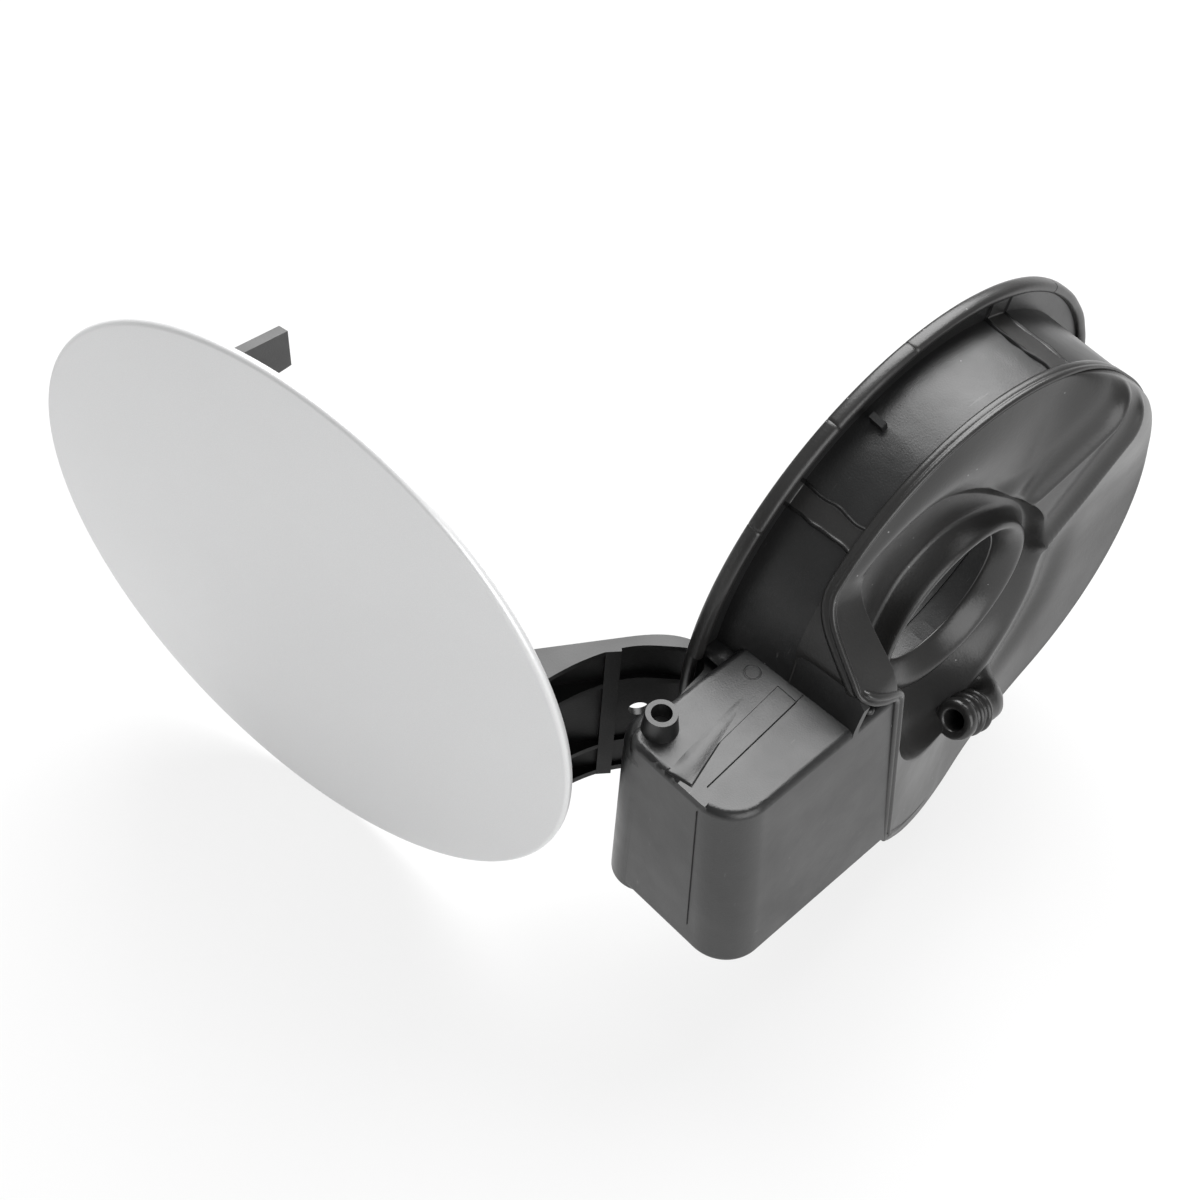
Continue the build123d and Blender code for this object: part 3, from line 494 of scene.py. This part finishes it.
def wall_height(x, z):
    """Depth of the rear wall outside the recess."""
    roof = smooth_min(plane_height(facet, x, z), plane_height(upper_side, x, z), UPPER_SOFT)
    roof = smooth_min(roof, plane_height(lower_side, x, z), LOWER_SOFT)
    roof = roof + ridge_line(RIDGE_HIGH, x, z) + ridge_line(RIDGE_LOW, x, z)
    return smooth_max(edge_height(x, z), roof, ROOF_SOFT)


# Rear wall: distances from the collar's axis, at equal turns about it
TURNS = 540
theta = np.linspace(0, 360, TURNS, endpoint=False)
ray_x = np.cos(np.radians(theta))
ray_z = np.sin(np.radians(theta))


def around(table, soften=2.0):
    """Value at each angle about the collar, from a table of angle and value."""
    angles, values = zip(*table)
    row = np.interp(theta, angles, values, period=360)
    spread = soften * TURNS / 360
    reach = int(spread * 3)
    offsets = np.arange(-reach, reach + 1)
    weights = np.exp(-0.5 * (offsets / spread) ** 2)
    weights /= weights.sum()
    return sum(weight * np.roll(row, offset) for weight, offset in zip(weights, offsets))


def at_reach(reach):
    """X and Z at a distance from the collar's axis."""
    return COLLAR[0] + reach * ray_x, COLLAR[1] + reach * ray_z


def circle_reach(centre, radius):
    """Distance from the collar's axis to a circle, centred as far along X as along Z."""
    off_x = COLLAR[0] - centre
    off_z = COLLAR[1] - centre
    along = off_x * ray_x + off_z * ray_z
    return -along + np.sqrt(np.maximum(along ** 2 - off_x ** 2 - off_z ** 2 + radius ** 2, 0))


def wall_reach(depth, inset):
    """Distance from the collar's axis to the pot's wall at a depth."""
    radius = POT_R - POT_SHRINK * depth + WALL_OUT - inset
    return np.maximum(circle_reach(0.0, radius), circle_reach(-POT_DRIFT * depth, radius))


FIRST_REACH = 70.0
FAR_REACH = 999
LEAST_SLANT = 0.05
REACH_ROUNDS = 24


def rim_reach(inset):
    """Distance from the collar's axis to the rear wall's edge, closed in on by rounds."""
    reach = np.full(TURNS, FIRST_REACH)
    slant = ray_x - BOX_SIDE[1] * ray_z
    to_side = (BOX_SIDE[0] - inset - COLLAR[0]) / np.maximum(slant, LEAST_SLANT)
    box_side = np.where(slant > LEAST_SLANT, to_side, FAR_REACH)
    for _ in range(REACH_ROUNDS):
        x, z = at_reach(reach)
        circle = wall_reach(edge_height(x, z), inset)
        beside_box = smooth_step((FOLD_TOP - z) / FOLD_RUN)
        reach = 0.5 * reach + 0.5 * (circle + (np.minimum(circle, box_side) - circle) * beside_box)
    return reach


# Recess around the collar, as pairs of angle and value
RECESS_EDGE = ((-180, 39.4), (-165, 41.4), (-150, 45.6), (-130, 49), (-115, 49), (-100, 47), (-85, 45.5),
               (-60, 44.5), (-30, 44.5), (-10, 45), (9.5, 49), (24, 55.3), (32, 58.6), (38, 61.5), (44, 64),
               (50, 65), (56, 64.4), (62, 63), (70, 61), (78, 57.5), (86, 53), (94, 48.6), (102, 45),
               (110, 42), (120, 39.6), (130, 38.4), (140, 38.2), (150, 38.2), (165, 38.6))
RECESS_WIDTH = ((-180, 4), (-165, 7), (-150, 10), (-130, 12.5), (-115, 12), (-100, 10), (-85, 9), (-60, 9.5),
                (-35, 9), (-18, 6), (-6, 3.6), (10, 3.4), (24, 3.2), (40, 3.6), (60, 5), (80, 6), (95, 5),
                (110, 3.6), (130, 2.6), (150, 2.8), (165, 3.4))
RECESS_FLOOR = ((-180, 30.6), (-150, 31), (-120, 31.6), (-95, 30.4), (-60, 29.4), (-30, 28.8), (0, 28.4),
                (30, 27), (50, 26), (80, 26.4), (100, 28), (120, 29.4), (140, 30.2), (165, 30.6))
BROW_CRISP = ((-180, 0.3), (-120, 0.0), (-30, 0.5), (0, 1.0), (130, 1.0), (160, 0.6))
SWELL = ((-180, 0.0), (0, 0.0), (38, 0.0), (52, 1.4), (75, 2.4), (100, 2.4), (118, 1.2), (135, 0.0))
HOLLOW = ((-180, 1.0), (-165, 1.8), (-125, 1.8), (-100, 0.4), (-85, 0.0), (0, 0.0), (165, 0.0))
HOLLOW_OFF = 10.0
HOLLOW_WIDTH = 6.0
# Collar as radius and depth, and its foot as radius and rise above the floor
COLLAR_RINGS = ((24.2, 28.0), (24.2, 28.5), (24.4, 29.2), (25.1, 30.4), (26.4, 32.2), (27.8, 33.9),
                (28.8, 34.9), (29.5, 35.3), (30.2, 35.45), (30.9, 35.3), (31.4, 34.8), (31.7, 34.0),
                (31.9, 33.0))
FOOT_RINGS = ((32.6, 1.2), (33.3, 0.4), (34.2, 0.05))
FLOOR_START = FOOT_RINGS[-1][0]
LEAST_FLOOR_END = 35.0
FLOOR_SHARES = (0.25, 0.5, 0.75, 1.0)
STEP_SHARES = (0.04, 0.1, 0.18, 0.28, 0.4, 0.52, 0.64, 0.74, 0.82, 0.88, 0.93, 0.97, 1.0)
CRISP_POWER = 1.7
OUTER_RINGS = 46
RING_PACE = 1.35
RIM_INSET = 1.0
RIM_RISE = 0.2
EDGE_TO_RIM = 2.4
TURN_DOWN_RUN = 15.0
TURN_DOWN_SHARE = 0.8
SOFT_T = 1.8


def recess_rings(edge):
    """Rings of the collar, the recess floor and the step up to the recess edge."""
    width = around(RECESS_WIDTH)
    floor_depth = around(RECESS_FLOOR, 4.0)
    crisp = around(BROW_CRISP, 4.0)
    rings = [(np.full(TURNS, radius), np.full(TURNS, depth)) for radius, depth in COLLAR_RINGS]
    rings += [(np.full(TURNS, radius), floor_depth + rise) for radius, rise in FOOT_RINGS]
    foot = edge - width
    floor_run = np.maximum(foot, LEAST_FLOOR_END) - FLOOR_START
    rings += [(FLOOR_START + floor_run * share, floor_depth) for share in FLOOR_SHARES]
    step_rise = wall_height(*at_reach(edge)) - floor_depth
    for share in STEP_SHARES:
        climb = smooth_step(share) + (share ** CRISP_POWER - smooth_step(share)) * crisp
        rings.append((foot + width * share, floor_depth + step_rise * climb))
    return rings


def outer_rings(edge, rim):
    """Rings from the recess edge to the rim, where the wall turns down."""
    swell = around(SWELL, 5.0)
    hollow = around(HOLLOW, 5.0)
    turn_down = np.minimum(TURN_DOWN_RUN, TURN_DOWN_SHARE * (rim - edge))
    rings = []
    for step in range(1, OUTER_RINGS + 1):
        share = step / OUTER_RINGS
        share = share * (RING_PACE - (RING_PACE - 1) * share)
        reach = edge + (rim - edge) * share
        x, z = at_reach(reach)
        base = edge_height(x, z) + RIM_RISE
        turned = np.sqrt(1 - (1 - np.clip((rim - reach) / turn_down, 0, 1)) ** 2)
        dip = hollow * np.exp(-((reach - edge - HOLLOW_OFF) / HOLLOW_WIDTH) ** 2)
        depth = base + (wall_height(x, z) - base) * turned + swell * math.sin(math.pi * share) - dip
        rings.append((reach, depth))
    return rings


wall_rim = rim_reach(RIM_INSET)
recess_edge = np.minimum(around(RECESS_EDGE), wall_rim - EDGE_TO_RIM)
wall_rings = recess_rings(recess_edge) + outer_rings(recess_edge, wall_rim)
wall_points = []
for ring_reach, ring_depth in wall_rings:
    ring_x, ring_z = at_reach(ring_reach)
    wall_points.extend(zip(ring_x, ring_depth, ring_z))
wall_faces = grid_faces(len(wall_rings), TURNS, wrap_columns=True)
membrane = add_points("rear_wall", wall_points, wall_faces, rubber, "pot")
thick = membrane.modifiers.new("thickness", "SOLIDIFY")
thick.thickness = SOFT_T * MM
thick.offset = -1
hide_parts("soft_moulding")

# Double bead along the rear wall's edge, as pairs outward and up from the edge
BEAD = ((-3.4, -3.9), (-3.4, -0.4), (-3.0, 0.25), (-2.5, 0.5), (-2.0, 0.35), (-1.75, -0.15), (-1.45, -0.15),
        (-1.2, 0.2), (-0.6, 0.45), (-0.05, 0.2), (0.2, -0.35), (0.2, -1.1), (-0.1, -1.4), (0.1, -1.75),
        (0.2, -2.3), (0.2, -3.0), (0.0, -3.7), (-0.7, -4.0))
# Share of the bead at each angle: it dies out on the side away from the hinge
BEAD_SHARE = ((-180, 0.0), (-70, 0.0), (-45, 1.0), (112, 1.0), (135, 0.0))
PLAIN_INSET = 0.5
PLAIN_DROP = 0.6
LEAST_OUTWARD = 0.05
rim_x, rim_z = at_reach(rim_reach(0.0))
rim_y = edge_height(rim_x, rim_z)
rim_points = [Vector(point) for point in zip(rim_x, rim_y, rim_z)]
bead_share = around(BEAD_SHARE)


def bead_section(turn):
    """Points of the bead at one turn, square to the edge."""
    along = (rim_points[(turn + 1) % TURNS] - rim_points[turn - 1]).normalized()
    outward = along.cross(Vector((0, 1, 0)))
    outward = outward.normalized() if outward.length > LEAST_OUTWARD else Vector((1, 0, 0))
    if outward.dot(Vector((ray_x[turn], 0, ray_z[turn]))) < 0:
        outward = -outward
    up = outward.cross(along)
    up = up if up.y > 0 else -up
    plain = 1 - bead_share[turn]
    return [rim_points[turn] + outward * (out - PLAIN_INSET * plain)
            + up * min(rise, rise - (rise + PLAIN_DROP) * plain) for out, rise in BEAD]


bead_points = [point for turn in range(TURNS) for point in bead_section(turn)]
bead_faces = grid_faces(TURNS, len(BEAD), wrap_rows=True, wrap_columns=True)
bead = add_points("rear_bead", bead_points, bead_faces, rubber, "pot")

# Side of the rear wall, where it rises beside the hinge box
SIDE_ARC = (12, 47)
SIDE_STEPS = 9
SIDE_FOOT_DROP = 3.0
SIDE_FOOT_OUT = 0.25
SIDE_HEAD_INSET = 0.2
SIDE_HEAD_DROP = 0.4
side_turns = np.flatnonzero((theta > SIDE_ARC[0]) & (theta < SIDE_ARC[1]))
foot_y = plane_height(REAR, rim_x, rim_z) - SIDE_FOOT_DROP
foot_x, foot_z = at_reach(wall_reach(foot_y, WALL_OUT - SIDE_FOOT_OUT))
side_points = []
for turn in side_turns:
    outward = Vector((ray_x[turn], 0, ray_z[turn]))
    head = rim_points[turn] - outward * SIDE_HEAD_INSET - Vector((0, SIDE_HEAD_DROP, 0))
    foot = Vector((foot_x[turn], foot_y[turn], foot_z[turn]))
    side_points.extend(head.lerp(foot, share) for share in np.linspace(0, 1, SIDE_STEPS))
side_wall = add_points("rear_wall_side", side_points, grid_faces(len(side_turns), SIDE_STEPS), rubber, "pot")

# Drain elbow as centre and radius, and its nipple as run along the axis and radius
ELBOW = (((-9.6, 36.0, -53.2), 14.5), ((-9.4, 38.6, -53.0), 10.6), ((-9.1, 41.0, -52.7), 8.6),
         ((-8.7, 43.2, -52.2), 7.4), ((-8.0, 45.4, -51.5), 6.7), ((-6.9, 47.2, -50.5), 6.2),
         ((-5.6, 48.2, -49.5), 5.9))
NIPPLE_START = Vector((-7.0, 48.6, -50.0))
NIPPLE_TILT = math.radians(25)
NIPPLE_AXIS = Vector((math.cos(NIPPLE_TILT), 0, math.sin(NIPPLE_TILT)))
NIPPLE = ((3.2, 5.6), (6.0, 5.4), (8.6, 5.5), (9.0, 6.4), (9.3, 7.0), (9.9, 7.2), (10.7, 7.0), (11.1, 6.3),
          (11.4, 5.6), (13.0, 5.5), (13.3, 6.4), (13.6, 7.0), (14.2, 7.2), (15.0, 7.0), (15.4, 6.3),
          (15.7, 5.6), (17.3, 5.5), (17.6, 6.2), (18.0, 6.7), (19.0, 6.9), (20.6, 6.8), (21.5, 6.4),
          (21.95, 5.6), (22.0, 4.5), (21.7, 3.8), (21.0, 3.45), (16.0, 3.4), (5.0, 3.4))
NIPPLE_SIDES = 48
nipple_path = [(Vector(point), radius) for point, radius in ELBOW]
nipple_path += [(NIPPLE_START + NIPPLE_AXIS * run, radius) for run, radius in NIPPLE]
nipple_points = []
for index, (point, radius) in enumerate(nipple_path):
    if index >= len(ELBOW):
        along = NIPPLE_AXIS
    else:
        along = (nipple_path[index + 1][0] - nipple_path[max(index - 1, 0)][0]).normalized()
    side = (Vector((0, 0, 1)) - along * along.z).normalized()
    cross = along.cross(side)
    for step in range(NIPPLE_SIDES):
        turn = 2 * math.pi * step / NIPPLE_SIDES
        nipple_points.append(point + side * (radius * math.cos(turn)) + cross * (radius * math.sin(turn)))
nipple_faces = grid_faces(len(nipple_path), NIPPLE_SIDES, wrap_columns=True)
nipple_faces.append(row_face(len(nipple_path) - 1, NIPPLE_SIDES))
nipple = add_points("drain_nipple", nipple_points, nipple_faces, rubber, "pot", sharp=70)


# Flow strips over the flange's back and the side wall
STRIP_COLUMNS = 30
STRIP_ROWS = 110
STRIP_T = 0.35
STRIP_SINK = -0.3
SWAY = 0.7
BURR = 0.45
BURR_CHANGE = 0.4
BURR_OFF = 0.55
BURR_WIDTH = 0.4
# Columns of faces in each dark border, which is partly mat flash and partly painted shade along the strip's
# edge
BORDER_FACES = 4
# The first share of a strip lies on the flange's back, and the rest on the side wall
FLANGE_SHARE = 0.16
STRIP_START_R = 86.6
STRIP_TURN_OUT = 0.4
FLANGE_BACK = 2.2
STRIP_WALL_START = 2.6
STRIP_END_GAP = 3.2
WALL_MIDDLE = 20


def pot_point(angle, radius, depth):
    """Point at an angle about the pot's axis."""
    turn = math.radians(angle)
    return (radius * math.cos(turn), depth, radius * math.sin(turn))


def wall_point(angle, depth, height):
    """Point above the side wall at an angle and depth."""
    return pot_point(angle, POT_R - POT_SHRINK * depth + height, depth)


def strip_point(angle, run, height):
    """Point of a flow strip at a share of its run, above the surface it lies on."""
    if run < FLANGE_SHARE:
        turn_r = POT_R + STRIP_TURN_OUT
        reach = STRIP_START_R - (STRIP_START_R - turn_r) * run / FLANGE_SHARE
        return pot_point(angle, reach, FLANGE_BACK + height)
    middle = wall_point(angle, WALL_MIDDLE, 0)
    depth_end = plane_height(REAR, middle[0], middle[2]) - STRIP_END_GAP
    wall_share = (run - FLANGE_SHARE) / (1 - FLANGE_SHARE)
    return wall_point(angle, STRIP_WALL_START + (depth_end - STRIP_WALL_START) * wall_share, height)


def uneven(run, pace, seed, lane):
    """Smooth unevenness along a strip, between about minus one and one."""
    return noise.noise(Vector((run * pace, seed, lane)))


def flow_strip(name, first, last, seed):
    """Band of rubber with ragged borders, from the lip to the rear bead."""
    points = []
    for row in range(STRIP_ROWS):
        run = row / (STRIP_ROWS - 1)
        sway_first = SWAY * uneven(run, 5, seed, 0)
        sway_last = SWAY * uneven(run, 4, seed, 5)
        burr_first = BURR + BURR_CHANGE * uneven(run, 7, seed, 11)
        burr_last = BURR + BURR_CHANGE * uneven(run, 6, seed, 14)
        for column in range(STRIP_COLUMNS):
            share = column / (STRIP_COLUMNS - 1)
            angle = first + sway_first + (last + sway_last - first - sway_first) * share
            gap = min(share, 1 - share) * (last - first)
            burr = burr_first if share < 0.5 else burr_last
            height = STRIP_T + burr * math.exp(-((gap - BURR_OFF) / BURR_WIDTH) ** 2)
            if column in (0, STRIP_COLUMNS - 1):
                height = STRIP_SINK
            points.append(strip_point(angle, run, height))
    strip = add_points(name, points, grid_faces(STRIP_ROWS, STRIP_COLUMNS), rubber, "pot")
    # Border faces take the darker finish, painted shade along the strip's edges as well as mat flash
    strip.data.materials.append(flash_and_painted_shade.material)
    last_face = STRIP_COLUMNS - 2
    border = [int(min(face, last_face - face) < BORDER_FACES) for face in range(last_face + 1)]
    strip.data.polygons.foreach_set("material_index", border * (STRIP_ROWS - 1))


flow_strip("flow_strip_hinge", 44.8, 51.2, 1.7)
flow_strip("flow_strip_far", 105.0, 113.0, 4.9)

# Rolled lip of the flange, as radius and depth
LIP_ARC = (9.2, 321.0)
LIP_STEPS = 420
LIP_PROFILE = ((85.6, 0.0), (85.9, -0.6), (86.6, -0.8), (88.0, -0.7), (88.7, -0.3), (89.0, 0.6), (89.0, 1.8),
               (88.9, 2.9), (88.5, 3.8), (87.9, 4.15), (87.1, 4.2), (86.4, 4.0), (85.9, 3.4), (85.7, 2.6),
               (85.6, 1.6))
# Fine lines cut across the lip, at angles
LIP_LINES = (39.0, 62.0, 82.0, 128.0, 171.0, 214.0, 262.0, 300.0)
LINE_HALF = 0.24
LINE_STEPS = (-LINE_HALF, -0.1, 0.0, 0.1, LINE_HALF)
LINE_DEPTH = 0.2
LINE_FROM = (86, 2)
WOBBLE = 0.12
WOBBLE_OUTWARD = 0.6
WOBBLE_PACE = 0.21
WOBBLE_FROM = (88, 3)


def lip_section(angle):
    """Points of the lip at an angle, cut at its lines and slightly uneven."""
    line = min(abs(angle - mark) for mark in LIP_LINES)
    cut = LINE_DEPTH * max(0.0, 1 - line / LINE_HALF)
    wobble = WOBBLE * noise.noise(Vector((angle * WOBBLE_PACE, 0.3, 0.7)))
    section = []
    for radius, depth in LIP_PROFILE:
        outward = (wobble if radius > WOBBLE_FROM[0] else 0) * WOBBLE_OUTWARD
        reach = radius - (cut if radius > LINE_FROM[0] else 0) + outward
        rear = depth - (cut if depth > LINE_FROM[1] else 0) + (wobble if depth > WOBBLE_FROM[1] else 0)
        section.append(pot_point(angle, reach, rear))
    return section


lip_angles = sorted(set(np.round(np.linspace(*LIP_ARC, LIP_STEPS), 3))
                    | {line + step for line in LIP_LINES for step in LINE_STEPS})
lip = tube("flange_lip", [lip_section(angle) for angle in lip_angles], rubber, "pot", sharp=60)

# Thin lip beside the hinge
THIN_ARC = (-5.3, 9.4)
THIN_STEPS = 40
THIN_PROFILE = ((86.6, 0.2), (86.9, -0.5), (87.6, -0.8), (88.4, -0.6), (88.9, 0.1), (89.0, 1.2), (88.8, 2.3),
                (88.2, 3.1), (87.3, 3.2), (86.8, 2.6), (86.6, 1.6))
thin_sections = [[pot_point(angle, radius, depth) for radius, depth in THIN_PROFILE]
                 for angle in np.linspace(*THIN_ARC, THIN_STEPS)]
thin_lip = tube("flange_lip_hinge", thin_sections, rubber, "pot", sharp=60)

# Hard pieces with rounded edges
CHANNEL_CUT = 17.0
CHANNEL_FLOOR = 17.75
CHANNEL_LEFT = 70
CHANNEL_DEPTHS = (20, 45)
LEVEL_GAP = 0.06
# Clip tabs: angles, and the depths and angle to each side that hold a tab's corners
TABS = (68.5, 158.5, 248.5)
TAB_DEPTHS = (5.0, 10.6)
TAB_SPREAD = 3.3
TAB_THIN = 0.34
TAB_FOOT = 0.6
TAB_HEAD = 1.5
TAB_HEAD_DEPTH = 8
TAB_HEAD_DROP = 1.3
TAB_ROOT_GAP = 0.2
TAB_ROOT_SINK = 0.3


def shape_tab(radius, y, angle, off):
    """Place of a corner of a clip tab: thin outside the wall, and hidden inside it."""
    turn = math.radians(angle)
    shift = max(0.0, -POT_DRIFT * y * (math.cos(turn) + math.sin(turn)))
    wall = POT_R - POT_SHRINK * y + shift
    if radius > wall - TAB_FOOT:
        angle += off * (TAB_THIN - 1)
        if radius > wall + TAB_HEAD and y > TAB_HEAD_DEPTH:
            radius -= TAB_HEAD_DROP
    elif radius < wall - WALL_T - TAB_ROOT_GAP:
        radius = wall - WALL_T + TAB_ROOT_SINK
    return pot_point(angle, radius, y)


def shape_housing(x, y, z):
    """Place of a corner of the housing, with a shallow channel and thin clip tabs."""
    in_channel = x > CHANNEL_LEFT and CHANNEL_DEPTHS[0] < y < CHANNEL_DEPTHS[1]
    if abs(z - CHANNEL_CUT) < LEVEL_GAP and in_channel:
        return x, y, CHANNEL_FLOOR
    angle = math.degrees(math.atan2(z, x)) % 360
    for tab in TABS:
        off = (angle - tab + 180) % 360 - 180
        if abs(off) <= TAB_SPREAD and TAB_DEPTHS[0] < y < TAB_DEPTHS[1]:
            return shape_tab(math.hypot(x, z), y, angle, off)
    return x, y, z


# The arm's faces that look up, away from its knuckle, keep the plain finish; the rest take a darker, less
# glossy copy of it, which is painted shade
KNUCKLE_R = 14.0
LOOKS_UP = 0.6


def arm_face_in_painted_shade(polygon):
    """Whether a face of the arm takes the darker copy of its finish, painted shade on faces that don't look up
    or lie near the knuckle.
    """
    near_pin = math.dist((polygon.center.x / MM, polygon.center.y / MM), HINGE) < KNUCKLE_R
    return polygon.normal.z < LOOKS_UP or near_pin


housing = moulded("housing_moulded", "housing", plastic, "pot", 0.5, reshape=shape_housing)
arm = moulded("hinge_arm_moulded", "hinge_arm", arm_plastic, "door", 0.45)
# Faces that don't look up, and those near the knuckle, take the painted shade copy
arm.data.materials.append(arm_painted_shade.material)
for polygon in arm.data.polygons:
    polygon.material_index = int(arm_face_in_painted_shade(polygon))
tongue = moulded("latch_tongue_moulded", "latch_tongue", tongue_plastic, "door", 0.7)
for node in ("bumper_upper", "bumper_lower"):
    rounded = moulded(node + "_moulded", node, rubber, "pot", 0.6)
plain_nodes = {"door_inner": primer, "hinge_pin": steel, "arm_rivets": steel, "tongue_rivets": steel}
for node, finish in plain_nodes.items():
    nodes[node].data.materials.clear()
    nodes[node].data.materials.append(finish.material)

# Rounded shoulder of the hinge box over the arm's hub, as radius from the pin and level
SHOULDER_ARC = (-126.0, 14.0)
SHOULDER_STEPS = 48
SHOULDER = ((4.5, 17.0), (6.0, 16.7), (7.2, 15.9), (8.2, 14.6), (9.0, 12.8), (9.4, 11.2), (9.5, 9.5),
            (7.6, 9.5), (4.5, 14.0))
# Small marks of the hinge box, as radius and height above its top
NUB = ((0.05, 1.2), (0.8, 1.12), (1.4, 0.8), (1.7, 0.3), (1.75, -0.4))
NUB_PLACE = (66.0, 48.8, BOX_TOP)
EJECTOR = ((1.9, -0.1), (2.05, 0.1), (2.5, 0.12), (2.7, -0.1))
EJECTOR_PLACE = (81.1, 18.8, BOX_TOP)
# Ends of the crest beside the channel, of the parting seams and of the web over the arm's mouth
CREST_ENDS = ((121.0, 29.9, BOX_TOP), (88.0, 22.9, BOX_TOP))
TOP_SEAM_ENDS = ((117.0, 36.7, BOX_TOP), (76.0, 33.5, BOX_TOP))
SIDE_SEAM_ENDS = ((122.75, 38.8, 14.0), (122.75, 41.8, -45.0))
WEB_ENDS = ((75.0, 6.0, 14.0), (84.5, 6.0, 14.0))
CREST_HALF = 4.2
CREST_TAPER = 0.75
CREST_RISE = 0.8
CREST_RISE_RUN = 0.2
CREST_STEPS = 14
CREST_SINK = 0.06
CREST_FOOT = -0.4
SEAM = ((-0.16, -0.3), (-0.12, 0.08), (0.0, 0.13), (0.12, 0.08), (0.16, -0.3))
WEB = ((-5.0, -0.35), (5.0, -0.35), (5.2, 0.0), (5.0, 0.35), (-5.0, 0.35), (-5.2, 0.0))


def shoulder_section(angle):
    """Points of the shoulder at an angle about the pin."""
    turn = math.radians(angle)
    return [(HINGE[0] + radius * math.cos(turn), HINGE[1] + radius * math.sin(turn), level)
            for radius, level in SHOULDER]


def crest_section(share):
    """Section of the crest beside the channel, which dies out along its run."""
    half = CREST_HALF * (1 - CREST_TAPER * share)
    rise = CREST_RISE * (1 - share) ** 0.8 * min(1.0, share / CREST_RISE_RUN) ** 0.7
    outline = []
    for step in range(CREST_STEPS + 1):
        across = step / CREST_STEPS
        outline.append((half * (2 * across - 1), rise * math.sin(math.pi * across) ** 1.3 - CREST_SINK))
    return outline + [(half, CREST_FOOT), (-half, CREST_FOOT)]


def steady(outline):
    """Section that stays the same all along a piece."""
    return lambda share: outline


UPWARD = (0, 0, 1)
FORWARD = (0, -1, 0)
BACKWARD = (0, 1, 0)
shoulder_sections = [shoulder_section(angle) for angle in np.linspace(*SHOULDER_ARC, SHOULDER_STEPS)]
nub = lathe("box_nub", NUB, NUB_PLACE, UPWARD, plastic, "pot", 32)
hub_shoulder = tube("hub_shoulder", shoulder_sections, plastic, "pot", sharp=60)
ejector = lathe("box_ejector_mark", EJECTOR, EJECTOR_PLACE, UPWARD, plastic, "pot", 48)
crest = sweep("box_crest", *CREST_ENDS, crest_section, plastic, "pot", FORWARD, count=40)
# Parting seams in the darker finish, partly mat flash and partly painted shade along the seam
top_seam = sweep("box_top_seam", *TOP_SEAM_ENDS, steady(SEAM), flash_and_painted_shade, "pot", FORWARD)
side_seam = sweep("box_side_seam", *SIDE_SEAM_ENDS, steady(SEAM), flash_and_painted_shade, "pot", BACKWARD)
web = sweep("mouth_web", *WEB_ENDS, steady(WEB), plastic, "pot", BACKWARD, count=4)

# Floor, in metres
FLOOR_REACH = 40.0
FLOOR_WHITE = 0.78
lowest = cad_box[0][2]
floor_mesh = bpy.data.meshes.new("floor")
floor_corners = [(side_x * FLOOR_REACH, side_y * FLOOR_REACH, lowest)
                 for side_x, side_y in ((-1, -1), (1, -1), (1, 1), (-1, 1))]
floor_mesh.from_pydata(floor_corners, [], [(0, 1, 2, 3)])
floor = bpy.data.objects.new("floor", floor_mesh)
scene.collection.objects.link(floor)
floor_finish = Finish("floor", grey(236), 0.9, Specular_IOR_Level=0.1)
floor_finish.vary_roughness(floor_finish.noise(3, 2.0), 0.88, 0.92)
floor_finish.show_white(FLOOR_WHITE)
floor_mesh.materials.append(floor_finish.material)

# Light
WORLD_STRENGTH = 0.28
LIGHT_TARGET = Vector((0.03, 0.02, 0))
world = bpy.data.worlds.new("studio")
scene.world = world
world.use_nodes = True
background = world.node_tree.nodes["Background"]
background.inputs["Color"].default_value = (1, 1, 1, 1)
background.inputs["Strength"].default_value = WORLD_STRENGTH


def softbox(name, direction, distance, size, radiance):
    """Square area light that looks at the part from a direction."""
    light = bpy.data.lights.new(name, "AREA")
    light.shape = "SQUARE"
    light.size = size
    light.energy = radiance * math.pi * size * size
    obj = bpy.data.objects.new(name, light)
    scene.collection.objects.link(obj)
    direction = Vector(direction).normalized()
    obj.location = LIGHT_TARGET + direction * distance
    obj.rotation_euler = direction.to_track_quat("Z", "Y").to_euler()


softbox("overhead", (-0.44, -0.41, 0.8), distance=1.3, size=1.2, radiance=7.0)
softbox("fill", (0.2, 0.9, 0.45), distance=1.3, size=1.1, radiance=3.0)

# Camera
CAMERA_PLACE = (0.3475, 0.2082, 0.4716)
CAMERA_BACK = (0.442, 0.414, 0.796)
CAMERA_RIGHT = (-0.726, 0.686, 0.047)
camera = bpy.data.objects.new("camera", bpy.data.cameras.new("camera"))
scene.collection.objects.link(camera)
camera.data.lens = 60
camera.data.sensor_width = 36
camera.data.clip_start = 0.01
back = Vector(CAMERA_BACK).normalized()
right = Vector(CAMERA_RIGHT)
right = (right - back * right.dot(back)).normalized()
up = back.cross(right)
turned = Matrix((right, up, back)).transposed().to_4x4()
camera.matrix_world = Matrix.Translation(CAMERA_PLACE) @ turned
scene.camera = camera
scene.view_settings.view_transform = "Standard"
